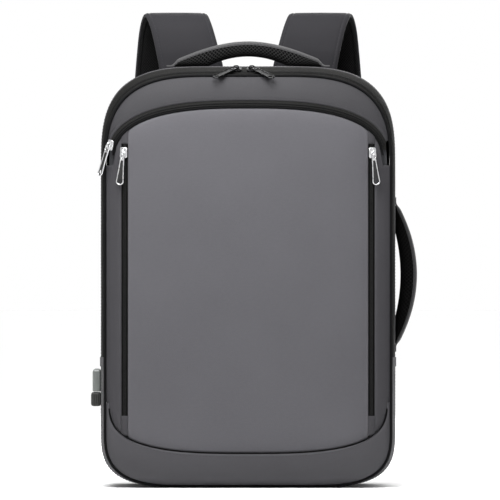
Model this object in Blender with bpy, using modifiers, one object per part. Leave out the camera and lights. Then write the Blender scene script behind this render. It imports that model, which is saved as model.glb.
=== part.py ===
"""Clamshell laptop backpack with a padded top handle, a side handle, two shoulder straps and a USB port.

Metres, +Z up, the front faces -Y. The origin is on the floor, at the middle of the base.
Every sewn panel is an open surface with Solidify, laid on the body's outline; the hardware is small
solids joined by Boolean unions. Each moving piece hangs from an empty on its joint's axis.
"""
import math

import bmesh
import bpy
from mathutils import Matrix, Vector

# Whole bag
HALF_WIDTH = 0.152
HEIGHT = 0.434
TOP_REACH = (0.113, 0.103)
BOTTOM_REACH = (0.085, 0.057)
CORNER_POWER = 3.1
GAP = 0.0004

# Front face, inside the front piping
FRONT_HALF_WIDTH = 0.1455
FRONT_LOW = 0.002
FRONT_HIGH = 0.4245
FRONT_CROWN_Y = -0.0755
FRONT_EDGE_Y = -0.061
CROWN_POWER = 5.0

# Depth levels, front to back
SHOULDER_FRONT_Y = -0.0592
SHOULDER_REAR_Y = -0.036
TAPE_SPLIT_Y = (-0.0526, -0.0520)
CHAIN_Y = -0.0495
DIVIDER_Y = (-0.0585, -0.0570)
GUSSET_Y = (-0.0350, 0.0558)
SLEEVE_Y = (0.0360, 0.0525)
BACK_BOARD_Y = (0.0530, 0.0555)
REAR_PIPING_Y = 0.0580
BACK_PANEL_Y = (0.0590, 0.0625)
BACK_PAD_Y = (0.0629, 0.0715)

# Pads on the back, with round corners
BACK_PAD_X = (0.012, 0.122)
BACK_PAD_Z = (0.150, 0.392)
LUMBAR_PAD_HALF_WIDTH = 0.104
LUMBAR_PAD_Z = (0.048, 0.138)
PAD_CORNER = 0.022

# Inside: the laptop sleeve, its closing strap, the pocket on the lid and the base stiffener
SLEEVE_WIDTH = 0.258
SLEEVE_HEIGHT = 0.330
SLEEVE_FOOT_Z = 0.014
SLEEVE_WALL = 0.0028
SLEEVE_STRAP_SIZE = (0.040, 0.0020, 0.062)
SLEEVE_STRAP_PLACE = (0.0, 0.0342, 0.330)
INNER_POCKET_SIZE = (0.200, 0.0030, 0.140)
INNER_POCKET_PLACE = (0.0, -0.0550, 0.225)
BASE_BOARD_THICK = 0.0020
BASE_BOARD_Z = 0.0046
BASE_BOARD_MARGIN = 0.005

# Insets of the flat pieces from the body's outline
BACK_BOARD_INSET = 0.0042
BACK_PANEL_INSET = 0.0045
REAR_PIPING_INSET = 0.0020
DIVIDER_INSET = 0.0042

# Cloth thicknesses
PANEL = 0.0030
TAPE = 0.0012
GUSSET = 0.0030
SHOULDER = 0.0016
PIPING_RADIUS = 0.0015
PIPING_CLEAR = 0.0025

# Fold of the front lid, at the ends of the main zip
FOLD_Z = 0.134
FOLD_Y = -0.0770
FOLD_HALF_SLIT = 0.0005

# Seams of the front face
ARCH_HALF_WIDTH = 0.1425
ARCH_BASE_Z = 0.332
ARCH_RISE = 0.063
ARCH_POWER = 2.7
ARCH_TAPE_HALF = 0.0045
ARCH_FOOT_Z = 0.346
SMILE_HALF_WIDTH = 0.1432
SMILE_BASE_Z = 0.0875
SMILE_DROP = 0.0525
SMILE_POWER = 3.0
SIDE_ZIP_X = 0.1275
SIDE_ZIP_HALF = 0.0030
SIDE_ZIP_TOP_Z = 0.356
SIDE_STRIP_DROP = 0.006
BAND_FOOT_Z = 0.366

# Stations along half of an outline
FLAT_STEPS = 3
BOTTOM_STEPS = 7
LOWER_SIDE_STEPS = 2
UPPER_SIDE_STEPS = 4
TOP_STEPS = 9
FOLD_STATION = FLAT_STEPS + BOTTOM_STEPS + LOWER_SIDE_STEPS
HALF_STATIONS = FOLD_STATION + UPPER_SIDE_STEPS + TOP_STEPS + FLAT_STEPS
CORNER_STATION = FLAT_STEPS + BOTTOM_STEPS
SHOULDER_STATION = FOLD_STATION + UPPER_SIDE_STEPS + 5

BODY_CENTRE = Vector((0.0, 0.010, 0.217))
FAR_BEHIND = Vector((0.0, 2.0, 0.217))
FAR_AHEAD = Vector((0.0, -2.0, 0.217))

# Zip hardware
WING_LENGTH = 0.0110
WING_WIDTH = 0.0080
WING_HEIGHT = 0.0020
BRIDGE_SPAN = 0.0070
BRIDGE_WIDTH = 0.0016
BRIDGE_RISE = 0.0040
BRIDGE_BAR = 0.0012
PULLER_LENGTH = 0.0335
PULLER_THICK = 0.0014
PULLER_LIFT = 0.0014
SLIDER_FLOAT = 0.0010
# Half-widths along a puller, the radius of its round end, and the half-width of its eye
PULLER = (((0.0, 0.0023), (0.19, 0.0024), (0.50, 0.0031), (0.84, 0.0040)), 0.0042, 0.0015)
MAIN_PULLER = (((0.0, 0.0042), (0.19, 0.0042), (0.32, 0.0037), (0.80, 0.0039)), 0.0041, 0.0034)
ARCH_PULLER = (((0.0, 0.0036), (0.19, 0.0036), (0.50, 0.0034), (0.84, 0.0040)), 0.0042, 0.0029)
HOLE_RADIUS = 0.0019
HOLE_MARGIN = 0.0048
EYE_LENGTH = (0.0008, 0.0056)
MAIN_SLIDER_X = (-0.0122, 0.0040)
MAIN_PULL_YAW = (math.radians(46), math.radians(49))
MAIN_PULL_PITCH = math.radians(4)
SIDE_PULL_YAW = math.radians(6)
ARCH_SLIDER_Z = 0.353
ARCH_SLIDER_LIFT = 0.0026
ARCH_SLIDER_LEAN = (-0.75, -0.66, 0.0)
ARCH_SLIDER_TRAVEL = (-0.34, 0.0, -0.94)
ARCH_PULL_NORMAL = (-0.80, -0.57, 0.19)
ARCH_PULL_TRAVEL = (-0.29, 0.07, -0.95)
ARCH_PULL_RISE = 0.00028
SIDE_SLIDER_Z = 0.345

# Handles: half length, height off the wall, clear height at the middle, half width
TOP_HANDLE = (0.0800, 0.0270, 0.0110, 0.0120)
SIDE_HANDLE = (0.0755, 0.0236, 0.0063, 0.0120)
# The same handles' outer curve, (1 - share ** first) ** second, and the share that a hand fits under
TOP_HANDLE_CURVE = (1.9, 1.15, 0.54)
SIDE_HANDLE_CURVE = (2.0, 1.0, 0.62)
HANDLE_FOOT = 0.0029
HANDLE_END = 0.0064
HANDLE_COVER = 0.0035
HANDLE_END_WIDTH = 0.72
TOP_HANDLE_Y = 0.030
TOP_HANDLE_AXIS_Z = 0.4395
SIDE_HANDLE_Y = 0.010
SIDE_HANDLE_Z = 0.2185
SIDE_HANDLE_AXIS_X = 0.1555

# Shoulder strap: x, y, z and width down its middle line
STRAP_ROUTE = (
    (0.0600, 0.0695, 0.4370, 0.066),
    (0.0640, 0.0715, 0.4540, 0.065),
    (0.0700, 0.0790, 0.4760, 0.064),
    (0.0760, 0.0930, 0.4870, 0.064),
    (0.0810, 0.1080, 0.4760, 0.064),
    (0.0850, 0.1170, 0.4480, 0.063),
    (0.0900, 0.1220, 0.3950, 0.061),
    (0.0950, 0.1225, 0.3300, 0.057),
    (0.1000, 0.1180, 0.2650, 0.052),
    (0.1040, 0.1110, 0.2100, 0.047),
    (0.1070, 0.1040, 0.1640, 0.040),
)
STRAP_COVER = 0.0030
STRAP_LINING = 0.0065
STRAP_STEPS = 3
STRAP_TOP_ANCHOR = (0.0600, 0.0660, 0.4200)
YOKE_SIZE = (0.066, 0.0060, 0.034)
YOKE_PLACE = (0.0600, 0.0660, 0.4130)
TAB_OUTLINE = ((0.107, 0.054), (0.136, 0.088), (0.138, 0.036), (0.132, 0.024))
TAB_Y = (0.0629, 0.0649)
LOCK_CENTRE = (0.1080, 0.1000, 0.1490)
LOCK_SIZE = (0.026, 0.034, 0.0040)
LOCK_LEAN = 0.16
LOCK_SLOT = (0.0070, 0.0275, 0.02)
LOCK_SLOT_SHIFT = 0.0062
WEBBING_TOP = (0.1090, 0.0975, 0.1340)
WEBBING_FOOT = (0.1270, 0.0735, 0.0700)
WEBBING_SAG = 0.006
WEBBING_WIDTH = 0.025
WEBBING = 0.0016

# USB port on the left gusset
USB_Y = -0.005
USB_HOUSING = (0.0088, 0.0210, 0.0235)
USB_FOOT_Z = 0.0975
USB_CAP = (0.0104, 0.0220, 0.0145)
USB_SHELL = (0.0058, 0.0134, 0.0140)
USB_TONGUE = (0.0018, 0.0110, 0.0086)
USB_TONGUE_SHIFT = 0.0012
USB_CLEARANCE = 0.0006
USB_CAP_GAP = 0.0008

COLLECTION = "laptop_backpack"
GREY = (0.165, 0.163, 0.176)
DARK_GREY = (0.095, 0.094, 0.102)
BLACK = (0.018, 0.018, 0.019)
MESH_BLACK = (0.022, 0.022, 0.024)
METAL = (0.42, 0.42, 0.44)


# ---------- scene and materials ----------

def clear_scene():
    for obj in list(bpy.data.objects):
        bpy.data.objects.remove(obj, do_unlink=True)


def make_collection():
    collection = bpy.data.collections.new(COLLECTION)
    bpy.context.scene.collection.children.link(collection)
    return collection


def make_material(name, color, roughness, metallic=0.0):
    material = bpy.data.materials.new(name)
    material.use_nodes = True
    shader = material.node_tree.nodes["Principled BSDF"]
    shader.inputs["Base Color"].default_value = (*color, 1.0)
    shader.inputs["Roughness"].default_value = roughness
    shader.inputs["Metallic"].default_value = metallic
    return material


clear_scene()
PARTS = make_collection()
FABRIC = make_material("coated_fabric", GREY, 0.62)
DARK_FABRIC = make_material("gusset_fabric", DARK_GREY, 0.70)
ZIP_TAPE = make_material("zip_tape", BLACK, 0.75)
ZIP_METAL = make_material("zip_metal", METAL, 0.30, 0.9)
AIR_MESH = make_material("air_mesh", MESH_BLACK, 0.85)
BOARD = make_material("plastic_board", (0.05, 0.05, 0.05), 0.5)
LINING = make_material("lining", (0.10, 0.10, 0.11), 0.8)
WEB = make_material("webbing", BLACK, 0.8)
RUBBER = make_material("rubber", (0.02, 0.022, 0.02), 0.6)
PORT_PLASTIC = make_material("port_plastic", (0.16, 0.17, 0.165), 0.45)
STEEL = make_material("socket_steel", (0.6, 0.6, 0.6), 0.25, 1.0)


def pivot(name, location):
    """An empty on a joint's axis."""
    empty = bpy.data.objects.new(name, None)
    empty.location = location
    PARTS.objects.link(empty)
    return empty


def hang(obj, empty):
    """Parents an object to an empty, leaving it where it is."""
    obj.parent = empty
    obj.matrix_parent_inverse = Matrix.Translation(empty.location).inverted()
    return obj


def add_mesh(name, build, material):
    """Makes an object of a bmesh, shaded smooth but for its sharp edges."""
    mesh = bpy.data.meshes.new(name)
    build.to_mesh(mesh)
    build.free()
    mesh.materials.append(material)
    mesh.shade_smooth()
    mesh.set_sharp_from_angle(angle=math.radians(40))
    obj = bpy.data.objects.new(name, mesh)
    PARTS.objects.link(obj)
    return obj


# ---------- outlines ----------

def mix(a, b, share):
    return a + (b - a) * share


def corner(angle, power):
    """Cosine and sine of a superellipse."""
    return (max(math.cos(angle), 0.0) ** (2.0 / power), max(math.sin(angle), 0.0) ** (2.0 / power))


def half_outline(share, inset=0.0):
    """Right half from bottom centre to top centre: share 0 is the front face, 1 the whole body."""
    width = mix(FRONT_HALF_WIDTH, HALF_WIDTH, share) - inset
    low = mix(FRONT_LOW, 0.0, share) + inset
    high = mix(FRONT_HIGH, HEIGHT, share) - inset
    points = []
    bottom_x = width - BOTTOM_REACH[0]
    for i in range(FLAT_STEPS):
        points.append((bottom_x * i / FLAT_STEPS, low))
    bottom_z = low + BOTTOM_REACH[1]
    for i in range(BOTTOM_STEPS):
        across, down = corner(0.5 * math.pi * (1.0 - i / BOTTOM_STEPS), CORNER_POWER)
        points.append((bottom_x + BOTTOM_REACH[0] * across, bottom_z - BOTTOM_REACH[1] * down))
    for i in range(LOWER_SIDE_STEPS):
        points.append((width, mix(bottom_z, FOLD_Z, i / LOWER_SIDE_STEPS)))
    top_x = width - TOP_REACH[0]
    top_z = high - TOP_REACH[1]
    for i in range(UPPER_SIDE_STEPS):
        points.append((width, mix(FOLD_Z, top_z, i / UPPER_SIDE_STEPS)))
    for i in range(TOP_STEPS):
        across, up = corner(0.5 * math.pi * i / TOP_STEPS, CORNER_POWER)
        points.append((top_x + TOP_REACH[0] * across, top_z + TOP_REACH[1] * up))
    for i in range(FLAT_STEPS + 1):
        points.append((top_x * (1.0 - i / FLAT_STEPS), high))
    return points


def outline(share, inset=0.0):
    """The whole loop, anticlockwise seen from the front, from bottom centre."""
    half = half_outline(share, inset)
    return half + [(-x, z) for x, z in reversed(half[1:-1])]


def stretch(loop, first, last, slit=0.0):
    """Points of a loop from one station to another, over the top, with its ends drawn in."""
    count = len(loop)
    if last < first:
        last += count
    points = [Vector(loop[i % count]) for i in range(first, last + 1)]
    start = (points[1] - points[0]).normalized() * slit
    end = (points[-2] - points[-1]).normalized() * slit
    points[0] = points[0] + start
    points[-1] = points[-1] + end
    return [(p.x, p.y) for p in points]


def mirror_station(station):
    return 2 * HALF_STATIONS - station


def corner_reach(x, z, reach, base_z, sign):
    """0 in the flat middle and 1 on the edge of the front outline, by one pair of its corners."""
    across = max(abs(x) - (FRONT_HALF_WIDTH - reach[0]), 0.0) / reach[0]
    along = max(sign * (z - base_z), 0.0) / reach[1]
    return (across ** CORNER_POWER + along ** CORNER_POWER) ** (1.0 / CORNER_POWER)


def front_depth(x, z):
    """How far forward the crowned front face stands."""
    upper = corner_reach(x, z, TOP_REACH, FRONT_HIGH - TOP_REACH[1], 1.0)
    lower = corner_reach(x, z, BOTTOM_REACH, FRONT_LOW + BOTTOM_REACH[1], -1.0)
    share = min(max((z - 0.10) / 0.20, 0.0), 1.0)
    share = share * share * (3.0 - 2.0 * share)
    reach = min(mix(lower, upper, share), 1.0)
    return mix(FRONT_CROWN_Y, FRONT_EDGE_Y, reach ** CROWN_POWER)


def on_front(x, z, lift=0.0):
    return Vector((x, front_depth(x, z) - lift, z))


def front_normal(x, z):
    """Outward normal of the front face."""
    step = 0.0005
    slope_x = (front_depth(x + step, z) - front_depth(x - step, z)) / (2 * step)
    slope_z = (front_depth(x, z + step) - front_depth(x, z - step)) / (2 * step)
    return Vector((slope_x, -1.0, slope_z)).normalized()


def arch_height(x, offset=0.0):
    """Height of the arch zip's middle line, moved outward by offset."""
    across = min(abs(x) / (ARCH_HALF_WIDTH + offset), 1.0)
    return ARCH_BASE_Z + (ARCH_RISE + offset) * (1.0 - across ** ARCH_POWER) ** (1.0 / ARCH_POWER)


def arch_reach(z, offset=0.0):
    up = min(max((z - ARCH_BASE_Z) / (ARCH_RISE + offset), 0.0), 1.0)
    return (ARCH_HALF_WIDTH + offset) * (1.0 - up ** ARCH_POWER) ** (1.0 / ARCH_POWER)


def arch_points(offset, foot_z, count):
    """Arch line from left foot to right foot, kept inside the front piping."""
    limit = FRONT_HALF_WIDTH - PIPING_CLEAR
    foot_x = min(arch_reach(foot_z, offset), limit)
    tilt = math.atan2(
        (max(foot_z - ARCH_BASE_Z, 0.0) / (ARCH_RISE + offset)) ** (ARCH_POWER / 2),
        (foot_x / (ARCH_HALF_WIDTH + offset)) ** (ARCH_POWER / 2),
    )
    points = []
    for i in range(count + 1):
        angle = mix(tilt, math.pi - tilt, i / count)
        across, up = corner(min(angle, math.pi - angle), ARCH_POWER)
        side = 1.0 if angle > 0.5 * math.pi else -1.0
        x = side * min((ARCH_HALF_WIDTH + offset) * across, limit)
        points.append((x, ARCH_BASE_Z + (ARCH_RISE + offset) * up))
    return points


# ---------- solids ----------

def sheet(name, rows, material, thickness, centre):
    """Open surface through rows of points, facing away from centre, thickened inward."""
    build = bmesh.new()
    grid = [[build.verts.new(point) for point in row] for row in rows]
    for near, far in zip(grid, grid[1:]):
        for i in range(len(near) - 1):
            build.faces.new((near[i], near[i + 1], far[i + 1], far[i]))
    build.normal_update()
    facing = sum(f.normal.dot(f.calc_center_median() - centre) * f.calc_area() for f in build.faces)
    if facing < 0.0:
        bmesh.ops.reverse_faces(build, faces=build.faces[:])
    obj = add_mesh(name, build, material)
    solid = obj.modifiers.new("thickness", "SOLIDIFY")
    solid.thickness = thickness
    solid.offset = -1.0
    return obj


def band(name, rows, first, last, slit, material, thickness):
    """A strip round the body: rows are (share, y), between two stations of the outline."""
    lines = []
    for share, y in rows:
        lines.append([Vector((x, y, z)) for x, z in stretch(outline(share), first, last, slit)])
    return sheet(name, lines, material, thickness, BODY_CENTRE)


def quilt(name, low_line, high_line, rows, material, thickness=PANEL, sink=0.0):
    """A front panel between two lines of (x, z) points, laid on the crowned front face."""
    lines = []
    for i in range(rows + 1):
        line = []
        for low, high in zip(low_line, high_line):
            x = mix(low[0], high[0], i / rows)
            z = mix(low[1], high[1], i / rows)
            line.append(on_front(x, z, -sink))
        lines.append(line)
    return sheet(name, lines, material, thickness, FAR_BEHIND)


def slab(name, points, y_range, material):
    """A flat plate in the XZ plane from a closed 2D outline."""
    data = bpy.data.curves.new(name, "CURVE")
    data.dimensions = "2D"
    data.fill_mode = "BOTH"
    data.extrude = 0.5 * (y_range[1] - y_range[0])
    spline = data.splines.new("POLY")
    spline.points.add(len(points) - 1)
    for slot, (x, z) in zip(spline.points, points):
        slot.co = (x, z, 0.0, 1.0)
    spline.use_cyclic_u = True
    data.materials.append(material)
    obj = bpy.data.objects.new(name, data)
    obj.rotation_euler = (0.5 * math.pi, 0.0, 0.0)
    obj.location = (0.0, 0.5 * (y_range[0] + y_range[1]), 0.0)
    PARTS.objects.link(obj)
    return obj


def tube(name, points, radius, material, closed=False):
    """A cord of round section along points."""
    data = bpy.data.curves.new(name, "CURVE")
    data.dimensions = "3D"
    data.bevel_depth = radius
    data.bevel_resolution = 1
    data.use_fill_caps = not closed
    spline = data.splines.new("POLY")
    spline.points.add(len(points) - 1)
    for slot, point in zip(spline.points, points):
        slot.co = (*point, 1.0)
    spline.use_cyclic_u = closed
    data.materials.append(material)
    obj = bpy.data.objects.new(name, data)
    PARTS.objects.link(obj)
    return obj


def loft(name, sections, material):
    """A solid through closed sections of equal point counts, capped at both ends."""
    build = bmesh.new()
    rings = [[build.verts.new(point) for point in section] for section in sections]
    count = len(sections[0])
    for near, far in zip(rings, rings[1:]):
        for i in range(count):
            build.faces.new((near[i], near[(i + 1) % count], far[(i + 1) % count], far[i]))
    build.faces.new(rings[0])
    build.faces.new(rings[-1])
    bmesh.ops.recalc_face_normals(build, faces=build.faces[:])
    return add_mesh(name, build, material)


def box(name, size, centre, material, frame=None, bevel=0.0):
    """A box by its size and centre, in a frame if one is given, with bevelled edges if asked."""
    build = bmesh.new()
    bmesh.ops.create_cube(build, size=1.0)
    bmesh.ops.scale(build, vec=size, verts=build.verts[:])
    bmesh.ops.translate(build, vec=centre, verts=build.verts[:])
    if frame is not None:
        bmesh.ops.transform(build, matrix=frame, verts=build.verts[:])
    obj = add_mesh(name, build, material)
    if bevel > 0.0:
        edge = obj.modifiers.new("rounding", "BEVEL")
        edge.width = bevel
        edge.segments = 2
    return obj


def evaluated(obj):
    """The object's mesh with its modifiers applied."""
    graph = bpy.context.evaluated_depsgraph_get()
    graph.update()
    return bpy.data.meshes.new_from_object(obj.evaluated_get(graph), depsgraph=graph)


def joined(obj, tools, operation):
    """Boolean of an object with each tool in turn; the tools are removed."""
    for tool in tools:
        cut = obj.modifiers.new("join", "BOOLEAN")
        cut.operation = operation
        cut.object = tool
        cut.solver = "EXACT"
    mesh = evaluated(obj)
    obj.modifiers.clear()
    obj.data = mesh
    for tool in tools:
        bpy.data.objects.remove(tool, do_unlink=True)
    return obj


# ---------- the bag's walls ----------

def build_walls():
    rim = ((1.0, GUSSET_Y[0]), (1.0, GUSSET_Y[1]))
    slit = GAP
    left_low = mirror_station(CORNER_STATION)
    left_high = mirror_station(SHOULDER_STATION)
    band("top_gusset", rim, SHOULDER_STATION, left_high, slit, DARK_FABRIC, GUSSET)
    band("right_gusset", rim, CORNER_STATION, SHOULDER_STATION, slit, DARK_FABRIC, GUSSET)
    band("left_gusset", rim, left_high, left_low, slit, DARK_FABRIC, GUSSET)
    band("base_gusset", rim, left_low, CORNER_STATION, slit, DARK_FABRIC, GUSSET)
    base_half = HALF_WIDTH - BOTTOM_REACH[0]
    base_depth = GUSSET_Y[1] - GUSSET_Y[0] - 2.0 * BASE_BOARD_MARGIN
    base_middle = 0.5 * (GUSSET_Y[0] + GUSSET_Y[1])
    base_size = (2.0 * base_half, base_depth, BASE_BOARD_THICK)
    box("base_board", base_size, (0.0, base_middle, BASE_BOARD_Z), BOARD)
    slab("back_board", outline(1.0, BACK_BOARD_INSET), BACK_BOARD_Y, BOARD)
    slab("back_panel", outline(1.0, BACK_PANEL_INSET), BACK_PANEL_Y, FABRIC)
    route = [(x, REAR_PIPING_Y, z) for x, z in outline(1.0, REAR_PIPING_INSET)]
    tube("rear_piping", route, PIPING_RADIUS, WEB, closed=True)
    build_back_pads()


def rounded_plate(x_low, x_high, z_low, z_high, radius):
    """Corner points of a plate with round corners."""
    points = []
    steps = 4
    centres = (
        (x_high - radius, z_low + radius, -0.5),
        (x_high - radius, z_high - radius, 0.0),
        (x_low + radius, z_high - radius, 0.5),
        (x_low + radius, z_low + radius, 1.0),
    )
    for x, z, turn in centres:
        for i in range(steps + 1):
            angle = math.pi * (turn + 0.5 * i / steps)
            points.append((x + radius * math.cos(angle), z + radius * math.sin(angle)))
    return points


def build_back_pads():
    near, far = BACK_PAD_X
    wide = LUMBAR_PAD_HALF_WIDTH
    right = rounded_plate(near, far, *BACK_PAD_Z, PAD_CORNER)
    left = rounded_plate(-far, -near, *BACK_PAD_Z, PAD_CORNER)
    lumbar = rounded_plate(-wide, wide, *LUMBAR_PAD_Z, PAD_CORNER)
    slab("back_pad_right", right, BACK_PAD_Y, AIR_MESH)
    slab("back_pad_left", left, BACK_PAD_Y, AIR_MESH)
    slab("lumbar_pad", lumbar, BACK_PAD_Y, AIR_MESH)


def build_inside():
    """The laptop sleeve: a tray open at the top and against the back, with its closing strap."""
    build = bmesh.new()
    bmesh.ops.create_cube(build, size=1.0)
    size = (SLEEVE_WIDTH, SLEEVE_Y[1] - SLEEVE_Y[0], SLEEVE_HEIGHT)
    bmesh.ops.scale(build, vec=size, verts=build.verts[:])
    middle = (0.0, 0.5 * (SLEEVE_Y[0] + SLEEVE_Y[1]), SLEEVE_FOOT_Z + 0.5 * SLEEVE_HEIGHT)
    bmesh.ops.translate(build, vec=middle, verts=build.verts[:])
    build.normal_update()
    opened = [f for f in build.faces if f.normal.y > 0.5 or f.normal.z > 0.5]
    bmesh.ops.delete(build, geom=opened, context="FACES_ONLY")
    sleeve = add_mesh("laptop_sleeve", build, LINING)
    wall = sleeve.modifiers.new("thickness", "SOLIDIFY")
    wall.thickness = SLEEVE_WALL
    wall.offset = -1.0
    wall.use_even_offset = True
    box("sleeve_strap", SLEEVE_STRAP_SIZE, SLEEVE_STRAP_PLACE, WEB)
    build_divider("lower_pocket_wall", outline_part(False))


def outline_part(upper):
    """Closed outline of the pocket wall, above or below the fold."""
    loop = outline(0.0, DIVIDER_INSET)
    left = mirror_station(FOLD_STATION)
    if upper:
        return stretch(loop, FOLD_STATION, left, FOLD_HALF_SLIT)
    return stretch(loop, left, FOLD_STATION, FOLD_HALF_SLIT)


def build_divider(name, points):
    return slab(name, points, DIVIDER_Y, LINING)


def shoulder_share(y):
    """How far a depth lies down the shoulder, from the front piping to the gusset."""
    return (y - FRONT_EDGE_Y) / (SHOULDER_REAR_Y - FRONT_EDGE_Y)


def shoulder_rows(y_front, y_rear):
    return ((shoulder_share(y_front), y_front), (shoulder_share(y_rear), y_rear))


def piping_route(upper):
    left = mirror_station(FOLD_STATION)
    loop = outline(0.0)
    slit = FOLD_HALF_SLIT
    if upper:
        points = stretch(loop, FOLD_STATION, left, slit)
    else:
        points = stretch(loop, left, FOLD_STATION, slit)
    return [(x, FRONT_EDGE_Y - 0.0005, z) for x, z in points]


def build_main_zip():
    """Root side of the main zip, and the shoulder below the zip's ends."""
    left = mirror_station(FOLD_STATION)
    slit = FOLD_HALF_SLIT
    rear = shoulder_rows(TAPE_SPLIT_Y[1], SHOULDER_REAR_Y - GAP)
    whole = shoulder_rows(SHOULDER_FRONT_Y, SHOULDER_REAR_Y - GAP)
    band("main_zip_tape_rear", rear, FOLD_STATION, left, slit, ZIP_TAPE, TAPE)
    band("lower_shoulder", whole, left, FOLD_STATION, slit, DARK_FABRIC, SHOULDER)
    tube("front_piping_lower", piping_route(False), PIPING_RADIUS, WEB)


def build_lower_front():
    """Front face below the fold, with the feet of its side zips and strips, and the boot panel."""
    count = 20
    seam = smile_points(-GAP, count)
    fold = [(x, FOLD_Z - FOLD_HALF_SLIT) for x, _ in seam]
    quilt("lower_front_panel", seam, fold, 3, FABRIC)
    quilt("bottom_boot", *boot_lines(24), 4, DARK_FABRIC)


def smile_points(offset, count):
    """The boot's seam from left to right, moved down by offset."""
    points = []
    for i in range(count + 1):
        angle = math.pi * i / count
        across, down = corner(min(angle, math.pi - angle), SMILE_POWER)
        side = -1.0 if angle < 0.5 * math.pi else 1.0
        points.append((side * (SMILE_HALF_WIDTH - GAP) * across, SMILE_BASE_Z - offset - SMILE_DROP * down))
    return points


def boot_lines(count):
    """Upper and lower edge of the bottom boot panel."""
    loop = outline(0.0, PIPING_CLEAR)
    border = stretch(loop, mirror_station(CORNER_STATION), CORNER_STATION)
    border.insert(0, (border[0][0], SMILE_BASE_Z - 2.0 * GAP))
    border.append((border[-1][0], SMILE_BASE_Z - 2.0 * GAP))
    return smile_points(GAP, count), spaced(border, count)


def spaced(points, count):
    """The same line with count equal steps."""
    line = [Vector(p) for p in points]
    lengths = [0.0]
    for a, b in zip(line, line[1:]):
        lengths.append(lengths[-1] + (b - a).length)
    result = []
    for i in range(count + 1):
        target = lengths[-1] * i / count
        j = 0
        while j < len(line) - 2 and lengths[j + 1] < target:
            j += 1
        share = (target - lengths[j]) / max(lengths[j + 1] - lengths[j], 1e-9)
        result.append(tuple(line[j].lerp(line[j + 1], share)))
    return result


# ---------- front lid ----------

def build_lid():
    lid = pivot("lid_pivot", (0.0, FOLD_Y, FOLD_Z))
    pieces = [build_divider("lid_pocket_wall", outline_part(True))]
    pieces.append(box("inner_pocket", INNER_POCKET_SIZE, INNER_POCKET_PLACE, LINING))
    pieces += build_lid_face()
    left = mirror_station(FOLD_STATION)
    slit = FOLD_HALF_SLIT
    front = shoulder_rows(SHOULDER_FRONT_Y, TAPE_SPLIT_Y[0])
    pieces.append(band("main_zip_tape_front", front, FOLD_STATION, left, slit, ZIP_TAPE, TAPE))
    pieces.append(tube("front_piping", piping_route(True), PIPING_RADIUS, WEB))
    for piece in pieces:
        hang(piece, lid)


def build_lid_face():
    high_edge = FOLD_Z + FOLD_HALF_SLIT
    inner = SIDE_ZIP_X - SIDE_ZIP_HALF - GAP
    columns = 12
    tape = ARCH_TAPE_HALF
    across = [mix(-inner, inner, i / columns) for i in range(columns + 1)]
    fold = [(x, high_edge) for x in across]
    arch = [(x, arch_height(x, -tape - GAP)) for x in across]
    pieces = [quilt("front_panel", fold, arch, 7, FABRIC)]
    count = 26
    inner_edge = arch_points(-tape, ARCH_FOOT_Z, count)
    outer_edge = arch_points(tape, ARCH_FOOT_Z, count)
    pieces.append(quilt("arch_zip", inner_edge, outer_edge, 1, ZIP_TAPE, TAPE))
    pieces.append(build_upper_band(tape, count))
    for side, label in ((1.0, "right"), (-1.0, "left")):
        near = side * (SIDE_ZIP_X - SIDE_ZIP_HALF)
        far = side * (SIDE_ZIP_X + SIDE_ZIP_HALF)
        steps = 6
        zip_near = [(near, mix(high_edge, SIDE_ZIP_TOP_Z, i / steps)) for i in range(steps + 1)]
        zip_far = [(far, mix(high_edge, SIDE_ZIP_TOP_Z, i / steps)) for i in range(steps + 1)]
        pieces.append(quilt(f"side_zip_{label}", zip_near, zip_far, 1, ZIP_TAPE, TAPE))
        strip_near = far + side * GAP
        strip_far = side * (FRONT_HALF_WIDTH - PIPING_CLEAR)
        top_near = SIDE_ZIP_TOP_Z - SIDE_STRIP_DROP
        top_far = ARCH_BASE_Z
        near_line = [(strip_near, mix(high_edge, top_near, i / steps)) for i in range(steps + 1)]
        far_line = [(strip_far, mix(high_edge, top_far, i / steps)) for i in range(steps + 1)]
        pieces.append(quilt(f"side_strip_{label}", near_line, far_line, 2, FABRIC))
    return pieces


def build_upper_band(tape, count):
    """Panel between the arch zip and the top piping."""
    low_line = arch_points(tape + GAP, BAND_FOOT_Z, count)
    loop = outline(0.0, PIPING_CLEAR)
    top = stretch(loop, FOLD_STATION, mirror_station(FOLD_STATION))
    top = [p for p in top if p[1] > BAND_FOOT_Z + 0.002]
    high_line = list(reversed(spaced(top, count)))
    return quilt("upper_band", low_line, high_line, 2, FABRIC)


# ---------- zip sliders and pullers ----------

def face_frame(origin, travel, normal):
    """Local x along the zip, y across it, z out of the cloth."""
    normal = normal.normalized()
    travel = (travel - normal * travel.dot(normal)).normalized()
    across = normal.cross(travel)
    turn = Matrix((travel, across, normal)).transposed().to_4x4()
    return Matrix.Translation(origin) @ turn


def build_slider(name, frame):
    """Wing plate with a bridge over its middle."""
    base = SLIDER_FLOAT + 0.5 * WING_HEIGHT
    wing = box(name, (WING_LENGTH, WING_WIDTH, WING_HEIGHT), (0.0, 0.0, base), ZIP_METAL, frame)
    top = SLIDER_FLOAT + WING_HEIGHT
    half = 0.5 * BRIDGE_SPAN
    post_height = BRIDGE_RISE + 0.0006
    post_z = top + 0.5 * post_height - 0.0006
    parts = []
    for side in (1.0, -1.0):
        size = (BRIDGE_BAR, BRIDGE_WIDTH, post_height)
        centre = (side * (half - 0.5 * BRIDGE_BAR), 0.0, post_z)
        parts.append(box(f"{name}_post", size, centre, ZIP_METAL, frame))
    bar_z = top + BRIDGE_RISE - 0.5 * BRIDGE_BAR - 0.0001
    bar_size = (BRIDGE_SPAN - 0.0004, BRIDGE_WIDTH - 0.0002, BRIDGE_BAR)
    parts.append(box(f"{name}_bar", bar_size, (0.0, 0.0, bar_z), ZIP_METAL, frame))
    return joined(wing, parts, "UNION")


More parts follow.
